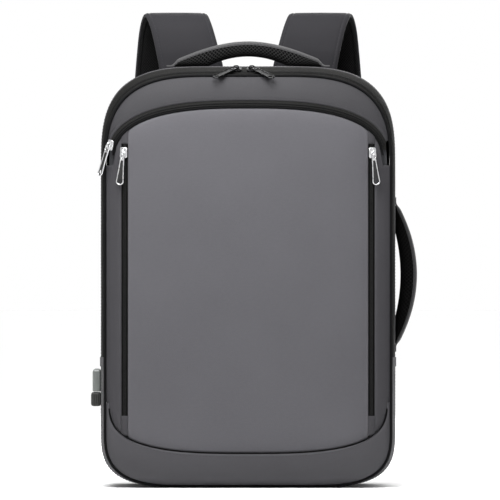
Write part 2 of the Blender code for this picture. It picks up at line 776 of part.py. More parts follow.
def puller_outline(widths, radius):
    """Outline of a puller, from its eye to its round end."""
    length = PULLER_LENGTH
    right = [(share * length - (0.0 if share else EYE_LENGTH[0]), half) for share, half in widths]
    for i in range(5):
        angle = 0.5 * math.pi * (i + 1) / 5
        right.append((length - radius + radius * math.sin(angle), radius * math.cos(angle)))
    left = [(along, -across) for along, across in reversed(right[:-1])]
    return right + left


def build_puller(name, frame, shape):
    """Flat pull with an eye for the bridge and a round hole near its end; the frame sits on its hinge."""
    widths, radius, wide = shape
    data = bpy.data.curves.new(name, "CURVE")
    data.dimensions = "2D"
    data.fill_mode = "BOTH"
    data.extrude = 0.5 * PULLER_THICK
    near, far = EYE_LENGTH
    eye = [(near, wide), (far, wide), (far, -wide), (near, -wide)]
    hole = []
    for i in range(10):
        angle = 2.0 * math.pi * i / 10
        along = PULLER_LENGTH - HOLE_MARGIN + HOLE_RADIUS * math.cos(angle)
        hole.append((along, HOLE_RADIUS * math.sin(angle)))
    for line in (puller_outline(widths, radius), eye, hole):
        spline = data.splines.new("POLY")
        spline.points.add(len(line) - 1)
        for slot, (along, across) in zip(spline.points, line):
            slot.co = (along, across, 0.0, 1.0)
        spline.use_cyclic_u = True
    data.materials.append(ZIP_METAL)
    obj = bpy.data.objects.new(name, data)
    obj.matrix_world = frame
    PARTS.objects.link(obj)
    return obj


def main_zip_frame(x, direction):
    """Frame on top of the main zip, its x axis along direction."""
    share = shoulder_share(CHAIN_Y)
    z = mix(FRONT_HIGH, HEIGHT, share)
    rise = (HEIGHT - FRONT_HIGH) / (SHOULDER_REAR_Y - FRONT_EDGE_Y)
    normal = Vector((0.0, -rise, 1.0))
    return face_frame(Vector((x, CHAIN_Y, z)), Vector(direction), normal)


def hinge_frame(slide_frame, yaw, pitch=0.0):
    """Frame of a puller on its slider, turned aside by yaw and down by pitch."""
    lift = Matrix.Translation((0.0, 0.0, SLIDER_FLOAT + WING_HEIGHT + PULLER_LIFT))
    return slide_frame @ lift @ Matrix.Rotation(yaw, 4, "Z") @ Matrix.Rotation(pitch, 4, "Y")


def place_zip_pull(label, slide_frame, pull_frame, shape):
    """One slider and its puller, each on its own empty."""
    slider = build_slider(f"{label}_slider", slide_frame)
    hang(slider, pivot(f"{label}_slide", slide_frame.translation))
    puller = build_puller(f"{label}_puller", pull_frame, shape)
    hang(puller, pivot(f"{label}_hinge", pull_frame.translation))


def arch_slider_frame():
    """The arch slider stands at the left end of its zip, turned out over the shoulder."""
    x = -arch_reach(ARCH_SLIDER_Z, -0.0012)
    lean = Vector(ARCH_SLIDER_LEAN).normalized()
    origin = on_front(x, ARCH_SLIDER_Z) + lean * ARCH_SLIDER_LIFT
    return face_frame(origin, Vector(ARCH_SLIDER_TRAVEL), lean)


def arch_pull_frame(slide_frame):
    """The arch slider's puller hangs on edge beside the shoulder."""
    rise = SLIDER_FLOAT + WING_HEIGHT + PULLER_LIFT + ARCH_PULL_RISE
    origin = slide_frame @ Vector((0.0, 0.0, rise))
    return face_frame(origin, Vector(ARCH_PULL_TRAVEL), Vector(ARCH_PULL_NORMAL))


def build_zip_pulls():
    pairs = zip((-1.0, 1.0), ("main_left", "main_right"), MAIN_SLIDER_X, MAIN_PULL_YAW)
    for side, label, x, yaw in pairs:
        slide = main_zip_frame(x, (side, 0.0, 0.0))
        pull = hinge_frame(slide, -side * yaw, MAIN_PULL_PITCH)
        place_zip_pull(label, slide, pull, MAIN_PULLER)
    arch = arch_slider_frame()
    place_zip_pull("arch", arch, arch_pull_frame(arch), ARCH_PULLER)
    for side, label in ((1.0, "side_right"), (-1.0, "side_left")):
        x = side * SIDE_ZIP_X
        frame = face_frame(on_front(x, SIDE_SLIDER_Z), Vector((0, 0, -1)), front_normal(x, SIDE_SLIDER_Z))
        place_zip_pull(label, frame, hinge_frame(frame, side * SIDE_PULL_YAW), PULLER)


# ---------- handles ----------

def handle_heights(share, shape, curve):
    """Outer and inner height off the wall at a share of the half length."""
    _, rise, clear, _ = shape
    power, sharpness, grip_share = curve
    arch = max(1.0 - share ** power, 0.0) ** sharpness
    outer = HANDLE_END + (rise - HANDLE_END) * arch
    inner = max(clear * (1.0 - (share / grip_share) ** 2), HANDLE_FOOT)
    return outer, inner


def handle_sections():
    """Shares of the half length where a handle is cut, closer together near its ends."""
    steps = 9
    right = [math.sin(0.5 * math.pi * 0.97 * i / steps) for i in range(steps + 1)]
    return [-s for s in reversed(right[1:])] + right


def build_handle(label, shape, curve, frame, axis_point):
    """Cover and grip pad of one handle; the frame's x runs along it and z leaves the wall."""
    half_length, _, _, half_width = shape
    cover_rows = [[], [], []]
    sections = []
    for share in handle_sections():
        outer, inner = handle_heights(abs(share), shape, curve)
        width = half_width * mix(1.0, HANDLE_END_WIDTH, abs(share) ** 3)
        along = share * half_length
        for row, side in zip(cover_rows, (-1.0, 0.0, 1.0)):
            drop = 0.0012 * abs(side)
            row.append(frame @ Vector((along, side * width, outer - drop)))
        top = outer - HANDLE_COVER - 0.0016
        if abs(share) < 0.93 and top - inner > 0.0015:
            pad = 0.94 * width
            ring = ((-pad, top - 0.0012), (pad, top - 0.0012), (pad, inner + 0.0012),
                    (0.6 * pad, inner), (-0.6 * pad, inner), (-pad, inner + 0.0012))
            sections.append([frame @ Vector((along * 0.96, y, z)) for y, z in ring])
    inside = frame @ Vector((0.0, 0.0, -0.2))
    cover = sheet(f"{label}_cover", cover_rows, FABRIC, HANDLE_COVER, inside)
    pad = loft(f"{label}_pad", sections, AIR_MESH)
    hinge = pivot(f"{label}_hinge", axis_point)
    hang(cover, hinge)
    hang(pad, hinge)


def build_handles():
    top_frame = Matrix.Translation((0.0, TOP_HANDLE_Y, HEIGHT))
    top_axis = (0.0, TOP_HANDLE_Y, TOP_HANDLE_AXIS_Z)
    build_handle("top_handle", TOP_HANDLE, TOP_HANDLE_CURVE, top_frame, top_axis)
    along = Vector((0.0, 0.0, -1.0))
    out = Vector((1.0, 0.0, 0.0))
    turn = Matrix((along, out.cross(along), out)).transposed().to_4x4()
    side_frame = Matrix.Translation((HALF_WIDTH, SIDE_HANDLE_Y, SIDE_HANDLE_Z)) @ turn
    axis_point = (SIDE_HANDLE_AXIS_X, SIDE_HANDLE_Y, SIDE_HANDLE_Z)
    build_handle("side_handle", SIDE_HANDLE, SIDE_HANDLE_CURVE, side_frame, axis_point)


# ---------- shoulder straps ----------

def smooth_route(points, steps):
    """Catmull-Rom line through control points."""
    line = [Vector(p) for p in points]
    line = [2 * line[0] - line[1]] + line + [2 * line[-1] - line[-2]]
    result = []
    for i in range(1, len(line) - 2):
        a, b, c, d = line[i - 1:i + 3]
        for k in range(steps):
            t = k / steps
            result.append(
                0.5 * (2 * b + (c - a) * t + (2 * a - 5 * b + 4 * c - d) * t ** 2
                       + (3 * b - a - 3 * c + d) * t ** 3)
            )
    result.append(line[-2])
    return result


def strap_rows(side, depth):
    """Two edges of the strap, moved by depth towards its inner face."""
    route = smooth_route(STRAP_ROUTE, STRAP_STEPS)
    edges = ([], [])
    for i, point in enumerate(route):
        before = route[max(i - 1, 0)]
        after = route[min(i + 1, len(route) - 1)]
        run = Vector((0.0, after.y - before.y, after.z - before.z)).normalized()
        inward = Vector((0.0, run.z, -run.y))
        middle = Vector((side * point.x, point.y, point.z)) + inward * depth
        half = 0.5 * point.w
        edges[0].append(middle + Vector((-half, 0.0, 0.0)))
        edges[1].append(middle + Vector((half, 0.0, 0.0)))
    return edges


def strap_layer(name, side, near, far, material):
    """One layer of the strap between two depths, as a loft of flat sections."""
    outer = strap_rows(side, near)
    inner = strap_rows(side, far)
    sections = list(zip(outer[0], outer[1], inner[1], inner[0]))
    return loft(name, sections, material)


def build_strap(side, label):
    hinge = pivot(f"strap_{label}_hinge", (side * STRAP_TOP_ANCHOR[0], *STRAP_TOP_ANCHOR[1:]))
    half = 0.5 * (STRAP_COVER + STRAP_LINING)
    cover = strap_layer(f"strap_{label}_cover", side, -half, STRAP_COVER - half, FABRIC)
    lining = strap_layer(f"strap_{label}_lining", side, STRAP_COVER - half + GAP, half, AIR_MESH)
    pieces = [cover, lining, build_ladder_lock(side, label)]
    pieces.append(build_webbing(side, label))
    for piece in pieces:
        hang(piece, hinge)
    box(f"strap_yoke_{label}", YOKE_SIZE, (side * YOKE_PLACE[0], *YOKE_PLACE[1:]), FABRIC)
    points = [(side * x, z) for x, z in TAB_OUTLINE]
    if side > 0:
        points.reverse()
    slab(f"strap_tab_{label}", points, TAB_Y, WEB)


def build_ladder_lock(side, label):
    """Frame with two slots that the webbing threads through."""
    centre = Vector((side * LOCK_CENTRE[0], *LOCK_CENTRE[1:]))
    frame = face_frame(centre, Vector((0.0, -LOCK_LEAN, -1.0)), Vector((0.0, 1.0, -LOCK_LEAN)))
    body = box(f"ladder_lock_{label}", LOCK_SIZE, (0.0, 0.0, 0.0), BOARD, frame)
    slots = []
    for shift in (-LOCK_SLOT_SHIFT, LOCK_SLOT_SHIFT):
        slots.append(box("slot", LOCK_SLOT, (shift, 0.0, 0.0), BOARD, frame))
    return joined(body, slots, "DIFFERENCE")


def build_webbing(side, label):
    """Flat webbing from the ladder lock down to the tab at the bottom corner."""
    start = Vector((side * WEBBING_TOP[0], *WEBBING_TOP[1:]))
    end = Vector((side * WEBBING_FOOT[0], *WEBBING_FOOT[1:]))
    rows = [[], []]
    steps = 6
    for i in range(steps + 1):
        share = i / steps
        point = start.lerp(end, share)
        point.z -= WEBBING_SAG * math.sin(math.pi * share)
        for row, turn in zip(rows, (-0.5, 0.5)):
            row.append(point + Vector((turn * WEBBING_WIDTH, 0.0, 0.0)))
    return sheet(f"strap_webbing_{label}", rows, WEB, WEBBING, FAR_AHEAD)


# ---------- USB port ----------

def build_usb_port():
    wall = -HALF_WIDTH - GAP
    width, depth, height = USB_HOUSING
    centre = Vector((wall - 0.5 * width, USB_Y, USB_FOOT_Z + 0.5 * height))
    body = box("usb_housing", USB_HOUSING, centre, PORT_PLASTIC, bevel=0.0022)
    shell_w, shell_d, shell_h = USB_SHELL
    clear = USB_CLEARANCE
    room = (shell_w + clear, shell_d + clear, 2.0 * (shell_h + clear))
    joined(body, [box("room", room, (centre.x, USB_Y, USB_FOOT_Z), PORT_PLASTIC)], "DIFFERENCE")
    shell_centre = (centre.x, USB_Y, USB_FOOT_Z + 0.5 * clear + 0.5 * shell_h)
    shell = box("usb_socket", USB_SHELL, shell_centre, STEEL)
    wall_t = 2.0 * GAP
    mouth = (shell_w - wall_t, shell_d - wall_t, 2.0 * (shell_h - clear))
    joined(shell, [box("mouth", mouth, (centre.x, USB_Y, USB_FOOT_Z), STEEL)], "DIFFERENCE")
    top = USB_FOOT_Z + shell_h - clear
    tongue_centre = (centre.x + USB_TONGUE_SHIFT, USB_Y, top - 0.5 * USB_TONGUE[2])
    box("usb_tongue", USB_TONGUE, tongue_centre, PORT_PLASTIC)
    cap_w, cap_d, cap_h = USB_CAP
    cap_x = wall - 0.5 * cap_w
    cap_z = USB_FOOT_Z - USB_CAP_GAP - 0.5 * cap_h
    cap = box("usb_cap", USB_CAP, (cap_x, USB_Y, cap_z), RUBBER, bevel=0.0018)
    hang(cap, pivot("usb_cap_hinge", (wall - cap_w, USB_Y, USB_FOOT_Z - 0.0005)))


def main():
    build_walls()
    build_inside()
    build_main_zip()
    build_lower_front()
    build_lid()
    build_zip_pulls()
    build_handles()
    for side, label in ((1.0, "right"), (-1.0, "left")):
        build_strap(side, label)
    build_usb_port()


main()
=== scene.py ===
import math

import bmesh
import bpy
import numpy as np
from mathutils import Matrix, Vector, noise
from mathutils.bvhtree import BVHTree


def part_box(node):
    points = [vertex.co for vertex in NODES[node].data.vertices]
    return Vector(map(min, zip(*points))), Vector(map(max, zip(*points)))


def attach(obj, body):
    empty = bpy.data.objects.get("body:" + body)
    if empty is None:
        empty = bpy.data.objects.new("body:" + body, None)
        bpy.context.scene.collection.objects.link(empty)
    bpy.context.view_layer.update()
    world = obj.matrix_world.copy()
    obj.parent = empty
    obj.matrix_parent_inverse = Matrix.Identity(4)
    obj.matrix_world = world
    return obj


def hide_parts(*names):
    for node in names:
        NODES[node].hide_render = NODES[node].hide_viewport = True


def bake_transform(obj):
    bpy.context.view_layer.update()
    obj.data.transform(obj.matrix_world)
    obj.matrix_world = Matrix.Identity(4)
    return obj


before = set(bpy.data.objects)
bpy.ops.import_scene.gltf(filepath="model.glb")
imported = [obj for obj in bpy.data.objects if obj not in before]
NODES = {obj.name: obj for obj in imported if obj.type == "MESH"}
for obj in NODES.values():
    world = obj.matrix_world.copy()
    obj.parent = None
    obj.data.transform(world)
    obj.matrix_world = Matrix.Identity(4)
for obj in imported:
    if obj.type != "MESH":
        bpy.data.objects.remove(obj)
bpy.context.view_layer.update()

# ---------- driving dimensions, the CAD's own ----------

HALF_WIDTH = 0.152
HEIGHT = 0.434
TOP_REACH = (0.113, 0.103)
BOTTOM_REACH = (0.085, 0.057)
CORNER_POWER = 3.1

FRONT_HALF_WIDTH = 0.1455
SIDE_BULGE = 0.0020
FRONT_LOW = 0.002
FRONT_HIGH = 0.4245
FRONT_CROWN_Y = -0.0755
FRONT_EDGE_Y = -0.061
CROWN_POWER = 5.0

SHOULDER_FRONT_Y = -0.0592
SHOULDER_REAR_Y = -0.036
CHAIN_Y = -0.0495
SPLIT_Y = -0.0523
DIVIDER_Y = (-0.0585, -0.0570)
GUSSET_Y = (-0.0350, 0.0558)
REAR_PIPING_Y = 0.0580
PIPING_RADIUS = 0.0015
PIPING_CLEAR = 0.0025

FOLD_Z = 0.134
BEND_LOW = FOLD_Z - 0.013
BEND_HIGH = FOLD_Z + 0.013

ARCH_HALF_WIDTH = 0.1425
ARCH_BASE_Z = 0.332
ARCH_RISE = 0.063
ARCH_POWER = 2.7
ARCH_TAPE_HALF = 0.0045
ARCH_FOOT_Z = 0.346
SMILE_HALF_WIDTH = 0.1432
SMILE_BASE_Z = 0.0875
SMILE_DROP = 0.0525
SMILE_POWER = 3.0
SIDE_ZIP_X = 0.1275
SIDE_ZIP_HALF = 0.0034
SIDE_ZIP_FOOT_Z = 0.074
SIDE_ZIP_TOP_Z = 0.354

WING_HEIGHT = 0.0020
SLIDER_FLOAT = 0.0010
BRIDGE_RISE = 0.0040
PULLER_LENGTH = 0.0335
PULLER_LIFT = 0.0014
MAIN_SLIDER_X = (-0.0122, 0.0040)
MAIN_PULL_YAW = (math.radians(46), math.radians(49))
MAIN_PULL_PITCH = math.radians(4)
SIDE_PULL_YAW = math.radians(6)
ARCH_SLIDER_Z = 0.353
ARCH_SLIDER_LIFT = 0.0026
ARCH_SLIDER_LEAN = (-0.75, -0.66, 0.0)
ARCH_SLIDER_TRAVEL = (-0.34, 0.0, -0.94)
ARCH_PULL_NORMAL = (-0.80, -0.57, 0.19)
ARCH_PULL_TRAVEL = (-0.29, 0.07, -0.95)
ARCH_PULL_RISE = 0.00028
SIDE_SLIDER_Z = 0.345

# Handles: half length, height off the wall, clear height at the middle, half width, and the curve of
# their outer line, (1 - share ** first) ** second, with the share that a hand fits under
TOP_HANDLE = (0.0800, 0.0270, 0.0110, 0.0120, 1.9, 1.15, 0.54, 0.0064)
SIDE_HANDLE = (0.0755, 0.0236, 0.0063, 0.0120, 2.0, 1.0, 0.62, 0.0024)
TOP_HANDLE_Y = 0.030
SIDE_HANDLE_Y = 0.010
SIDE_HANDLE_Z = 0.2185

STRAP_ROUTE = (
    (0.0600, 0.0695, 0.4370, 0.066),
    (0.0640, 0.0715, 0.4540, 0.065),
    (0.0700, 0.0790, 0.4760, 0.064),
    (0.0760, 0.0930, 0.4870, 0.064),
    (0.0810, 0.1080, 0.4760, 0.064),
    (0.0850, 0.1170, 0.4480, 0.063),
    (0.0900, 0.1220, 0.3950, 0.061),
    (0.0950, 0.1225, 0.3300, 0.057),
    (0.1000, 0.1180, 0.2650, 0.052),
    (0.1040, 0.1110, 0.2100, 0.047),
    (0.1070, 0.1040, 0.1640, 0.040),
)
LOCK_CENTRE = (0.1080, 0.1000, 0.1490)
LOCK_LEAN = 0.16
WEBBING_TOP = (0.1090, 0.0975, 0.1340)
WEBBING_FOOT = (0.1270, 0.0735, 0.0700)
WEBBING_WIDTH = 0.025

# ---------- sizes of the sewing ----------

FOLDED_EDGE = 0.0014
SOFT_EDGE = 0.0120
EDGE_STATIONS = (0.0, 0.0002, 0.0006, 0.0014, 0.0028, 0.0050, 0.0080, 0.0120)
STITCH_PITCH = 0.0034
STITCH_LENGTH = 0.0025
THREAD_RADIUS = 0.00027
COIL_PITCH = 0.0013

MIDDLE_Z = 0.5 * HEIGHT
BODY_CENTRE = Vector((0.0, 0.010, MIDDLE_Z))
FAR_BEHIND = Vector((0.0, 2.0, MIDDLE_Z))
FAR_AHEAD = Vector((0.0, -2.0, MIDDLE_Z))
SIDES = ((1.0, "right"), (-1.0, "left"))


# ---------- small maths ----------

def mix(a, b, share):
    return a + (b - a) * share


def clamp(value, low=0.0, high=1.0):
    return min(max(value, low), high)


def smooth(share):
    share = clamp(share)
    return share * share * (3.0 - 2.0 * share)


def corner(angle, power):
    """Cosine and sine of a superellipse."""
    return (max(math.cos(angle), 0.0) ** (2.0 / power), max(math.sin(angle), 0.0) ** (2.0 / power))


def ripple(x, z, size, seed=0.0):
    """Soft wander between -1 and 1 with waves about size long."""
    return noise.noise(Vector((x / size, z / size, seed)))


def signed_power(value, power):
    return math.copysign(abs(value) ** power, value)


def as_rows(points):
    """Points or directions as an array with one row each."""
    return np.array([tuple(p) for p in points], float)


def unit_rows(rows, least=1e-12):
    return rows / np.maximum(np.linalg.norm(rows, axis=-1, keepdims=True), least)


def distances(line):
    """How far along a line each of its points lies."""
    return np.concatenate([[0.0], np.cumsum(np.linalg.norm(np.diff(line, axis=0), axis=1))])


def points_at(marks, lengths, line):
    """Points of a line at given distances along it."""
    return np.stack([np.interp(marks, lengths, line[:, k]) for k in range(line.shape[1])], axis=-1)


def resample(points, count):
    """The same line with count equal steps."""
    line = as_rows(points)
    lengths = distances(line)
    return points_at(np.linspace(0.0, lengths[-1], count + 1), lengths, line)


# ---------- outlines, as in the CAD ----------

LOW_STEPS = 50
HIGH_STEPS = 92
HALF_STATIONS = LOW_STEPS + HIGH_STEPS
OUTLINES = {}


def half_outline(share, inset=0.0):
    """Right half from bottom centre to top centre: share 0 is the front face, 1 the whole body."""
    width = mix(FRONT_HALF_WIDTH + SIDE_BULGE, HALF_WIDTH, share) - inset
    low = mix(FRONT_LOW, 0.0, share) + inset
    high = mix(FRONT_HIGH, HEIGHT, share) - inset
    steps = 60
    lower = [(0.0, low)]
    for i in range(steps + 1):
        across, down = corner(0.5 * math.pi * (1.0 - i / steps), CORNER_POWER)
        x = width - BOTTOM_REACH[0] * (1.0 - across)
        lower.append((x, low + BOTTOM_REACH[1] * (1.0 - down)))
    lower.append((width, FOLD_Z))
    upper = [(width, FOLD_Z)]
    for i in range(steps + 1):
        across, up = corner(0.5 * math.pi * i / steps, CORNER_POWER)
        upper.append((width - TOP_REACH[0] * (1.0 - across), high - TOP_REACH[1] * (1.0 - up)))
    upper.append((0.0, high))
    return np.concatenate([resample(lower, LOW_STEPS)[:-1], resample(upper, HIGH_STEPS)])


def outline(share, inset=0.0):
    """The whole loop of (x, z), anticlockwise seen from the front, from bottom centre."""
    key = (round(share, 6), round(inset, 6))
    if key not in OUTLINES:
        half = half_outline(share, inset)
        mirrored = half[-2:0:-1] * np.array([-1.0, 1.0])
        OUTLINES[key] = np.concatenate([half, mirrored])
    return OUTLINES[key]


def half_width_at(z, inset=0.0, share=0.0):
    """Half width of the outline at a height."""
    width = mix(FRONT_HALF_WIDTH + SIDE_BULGE, HALF_WIDTH, share) - inset
    low = mix(FRONT_LOW, 0.0, share) + inset
    high = mix(FRONT_HIGH, HEIGHT, share) - inset
    if z > high - TOP_REACH[1]:
        reach, rise = TOP_REACH[0], (z - high + TOP_REACH[1]) / TOP_REACH[1]
    elif z < low + BOTTOM_REACH[1]:
        reach, rise = BOTTOM_REACH[0], (low + BOTTOM_REACH[1] - z) / BOTTOM_REACH[1]
    else:
        return width
    return width - reach * (1.0 - max(1.0 - clamp(rise) ** CORNER_POWER, 0.0) ** (1.0 / CORNER_POWER))


def corner_reach(x, z, reach, base_z, sign):
    """0 in the flat middle and 1 on the edge of the front outline, by one pair of its corners."""
    across = max(abs(x) - (FRONT_HALF_WIDTH - reach[0]), 0.0) / reach[0]
    along = max(sign * (z - base_z), 0.0) / reach[1]
    return (across ** CORNER_POWER + along ** CORNER_POWER) ** (1.0 / CORNER_POWER)


def front_depth(x, z):
    """How far forward the crowned front face stands."""
    upper = corner_reach(x, z, TOP_REACH, FRONT_HIGH - TOP_REACH[1], 1.0)
    lower = corner_reach(x, z, BOTTOM_REACH, FRONT_LOW + BOTTOM_REACH[1], -1.0)
    reach = min(mix(lower, upper, smooth((z - 0.10) / 0.20)), 1.0)
    return mix(FRONT_CROWN_Y, FRONT_EDGE_Y, reach ** CROWN_POWER)


def front_normal(x, z):
    """Outward normal of the front face."""
    step = 0.0005
    slope_x = (front_depth(x + step, z) - front_depth(x - step, z)) / (2 * step)
    slope_z = (front_depth(x, z + step) - front_depth(x, z - step)) / (2 * step)
    return Vector((slope_x, -1.0, slope_z)).normalized()


def on_front(x, z, lift=0.0):
    return Vector((x, front_depth(x, z), z)) + front_normal(x, z) * lift


def arch_height(x, offset=0.0):
    """Height of the arch zip's middle line, moved outward by offset."""
    across = min(abs(x) / (ARCH_HALF_WIDTH + offset), 1.0)
    return ARCH_BASE_Z + (ARCH_RISE + offset) * (1.0 - across ** ARCH_POWER) ** (1.0 / ARCH_POWER)


def arch_reach(z, offset=0.0):
    up = clamp((z - ARCH_BASE_Z) / (ARCH_RISE + offset))
    return (ARCH_HALF_WIDTH + offset) * (1.0 - up ** ARCH_POWER) ** (1.0 / ARCH_POWER)


def arch_line(offset, foot_z, count):
    """Arch line from left foot to right foot, kept inside the front piping."""
    limit = FRONT_HALF_WIDTH - PIPING_CLEAR
    points = []
    for i in range(401):
        angle = math.pi * i / 400
        across, up = corner(min(angle, math.pi - angle), ARCH_POWER)
        side = -1.0 if angle < 0.5 * math.pi else 1.0
        z = ARCH_BASE_Z + (ARCH_RISE + offset) * up
        if z >= foot_z:
            points.append((side * min((ARCH_HALF_WIDTH + offset) * across, limit), z))
    return resample(points, count)


def smile_height(x, offset=0.0):
    """Height of the boot's seam."""
    across = min(abs(x) / SMILE_HALF_WIDTH, 1.0)
    return SMILE_BASE_Z - offset - SMILE_DROP * (1.0 - across ** SMILE_POWER) ** (1.0 / SMILE_POWER)


def smile_line(steps, half_width=SMILE_HALF_WIDTH, base_z=SMILE_BASE_Z):
    """The boot's seam as (x, z) points from left to right."""
    line = []
    for i in range(steps + 1):
        angle = math.pi * i / steps
        across, down = corner(min(angle, math.pi - angle), SMILE_POWER)
        side = -1.0 if angle < 0.5 * math.pi else 1.0
        line.append((side * half_width * across, base_z - SMILE_DROP * down))
    return resample(line, 300)


def along_front(line, lift):
    """Points of an (x, z) line lifted off the front face, and the face's normals there."""
    return [on_front(x, z, lift) for x, z in line], [front_normal(x, z) for x, z in line]


def shoulder_share(y):
    """How far a depth lies down the shoulder, from the front piping to the gusset."""
    return clamp((y - FRONT_EDGE_Y) / (SHOULDER_REAR_Y - FRONT_EDGE_Y))


def wall_loop(y, lift=0.0):
    """The body's outline at a depth, as (x, y, z) rows round the loop."""
    loop = outline(shoulder_share(y), -lift)
    return np.insert(loop, 1, y, axis=1)


def stretch(loop, first, last):
    """Rows of a closed loop from one station to another, over the top."""
    count = len(loop)
    if last < first:
        last += count
    return loop[np.arange(first, last + 1) % count]


def mirror_station(station):
    return 2 * HALF_STATIONS - station


FOLD_STATION = LOW_STEPS
CORNER_STATION = LOW_STEPS - 14
SHOULDER_STATION = LOW_STEPS + 68


# ---------- meshes ----------

def add_object(name, data):
    """A new object in the scene."""
    obj = bpy.data.objects.new(name, data)
    bpy.context.scene.collection.objects.link(obj)
    return obj


class Shape:
    """Grids of points with texture coordinates in metres, welded into one mesh at the end."""

    def __init__(self):
        self.verts = []
        self.faces = []
        self.uvs = []
        self.edges = []

    def grid(self, points, uv=None, edge=None):
        """Quads over rows x columns points."""
        points = np.asarray(points, float)
        rows, cols = points.shape[:2]
        if uv is None:
            uv = run_lengths(points)
        start = len(self.verts)
        self.verts.extend(points.reshape(-1, 3).tolist())
        shades = np.zeros((rows, cols)) if edge is None else np.asarray(edge, float)
        self.edges.extend(shades.reshape(-1).tolist())
        for i in range(rows - 1):
            for j in range(cols - 1):
                corners = ((i, j), (i, j + 1), (i + 1, j + 1), (i + 1, j))
                self.faces.append([start + a * cols + b for a, b in corners])
                self.uvs.append([tuple(uv[a][b]) for a, b in corners])

    def fan(self, ring):
        """Closes a ring of points from its middle."""
        ring = np.asarray(ring, float)
        start = len(self.verts)
        middle = ring.mean(axis=0)
        self.verts.append(middle.tolist())
        self.verts.extend(ring.tolist())
        self.edges.extend([0.0] * (len(ring) + 1))
        offsets = ring - middle
        axis = int(np.argmin(np.ptp(offsets, axis=0)))
        keep = [k for k in range(3) if k != axis]
        for i in range(len(ring)):
            j = (i + 1) % len(ring)
            self.faces.append([start, start + 1 + i, start + 1 + j])
            self.uvs.append([(0.0, 0.0), tuple(offsets[i][keep]), tuple(offsets[j][keep])])

    def piece(self, name, material, sharp=40.0):
        mesh = bpy.data.meshes.new(name)
        mesh.from_pydata(self.verts, [], self.faces)
        layer = mesh.uv_layers.new(name="weave")
        layer.data.foreach_set("uv", np.array([c for face in self.uvs for c in face], float).ravel())
        shade = mesh.attributes.new("edge", "FLOAT", "POINT")
        shade.data.foreach_set("value", np.array(self.edges, float))
        build = bmesh.new()
        build.from_mesh(mesh)
        bmesh.ops.remove_doubles(build, verts=build.verts[:], dist=0.00001)
        bmesh.ops.dissolve_degenerate(build, dist=0.000002, edges=build.edges[:])
        bmesh.ops.recalc_face_normals(build, faces=build.faces[:])
        build.to_mesh(mesh)
        build.free()
        mesh.materials.append(material)
        mesh.shade_smooth()
        mesh.set_sharp_from_angle(angle=math.radians(sharp))
        return add_object(name, mesh)


def run_lengths(points):
    """Texture coordinates of a grid: metres along its columns and its rows."""
    rows, cols = points.shape[:2]
    across = np.linalg.norm(np.diff(points, axis=1), axis=2).mean(axis=0)
    along = np.linalg.norm(np.diff(points, axis=0), axis=2).mean(axis=1)
    u = np.concatenate([[0.0], np.cumsum(across)])
    v = np.concatenate([[0.0], np.cumsum(along)])
    return np.stack([np.tile(u, (rows, 1)), np.tile(v[:, None], (1, cols))], axis=2)


def grid_normals(points, closed):
    """Unit normals of a grid of points."""
    if closed:
        around = np.roll(points, -1, axis=1) - np.roll(points, 1, axis=1)
    else:
        around = np.gradient(points, axis=1)
    return unit_rows(np.cross(around, np.gradient(points, axis=0)))


def cloth(name, rows, thick, material, inside, closed=False, edge=None, uv=None):
    """A sheet of cloth through rows of points on its outer face, with a rim; inside is a point behind it."""
    outer = np.array([[tuple(p) for p in row] for row in rows], float)
    normals = grid_normals(outer, closed)
    if np.sum(normals * (outer - np.array(inside))) < 0.0:
        normals = -normals
    inner = outer - normals * thick
    if closed:
        outer = np.concatenate([outer, outer[:, :1]], axis=1)
        inner = np.concatenate([inner, inner[:, :1]], axis=1)
        if edge is not None:
            edge = np.concatenate([edge, edge[:, :1]], axis=1)
    shape = Shape()
    shape.grid(outer, uv, edge)
    shape.grid(inner, uv)
    shape.grid(np.stack([outer[0], inner[0]]))
    shape.grid(np.stack([outer[-1], inner[-1]]))
    if not closed:
        shape.grid(np.stack([outer[:, 0], inner[:, 0]]))
        shape.grid(np.stack([outer[:, -1], inner[:, -1]]))
    return shape.piece(name, material)


def ring_piece(name, rings, material, sharp=40.0):
    """A tube through rings of points, each closed on its first, with both ends capped."""
    shape = Shape()
    shape.grid(rings)
    shape.fan(rings[0][:-1])
    shape.fan(rings[-1][:-1])
    return shape.piece(name, material, sharp)


def sweep(name, path, ups, section, material, closed=False):
    """A section of (across, up) points swept along a path, with capped ends unless it is closed."""
    path = as_rows(path)
    if closed:
        run = np.roll(path, -1, axis=0) - np.roll(path, 1, axis=0)
    else:
        run = np.gradient(path, axis=0)
    run = unit_rows(run)
    side = unit_rows(np.cross(run, as_rows(ups)))
    high = np.cross(side, run)
    section = section + section[:1]
    rings = np.array([[point + side[i] * a + high[i] * h for a, h in section] for i, point in enumerate(path)])
    if not closed:
        return ring_piece(name, rings, material)
    shape = Shape()
    shape.grid(np.concatenate([rings, rings[:1]], axis=0))
    return shape.piece(name, material)


def circle(radius, sides):
    return [(radius * math.cos(2 * math.pi * k / sides), radius * math.sin(2 * math.pi * k / sides))
            for k in range(sides)]


def rounded_bar(half_width, half_height, sides=16, power=4.0):
    """Section of a flat bar with rounded edges."""
    points = []
    for k in range(sides):
        angle = 2.0 * math.pi * k / sides
        points.append((half_width * signed_power(math.cos(angle), 2.0 / power),
                       half_height * signed_power(math.sin(angle), 2.0 / power)))
    return points


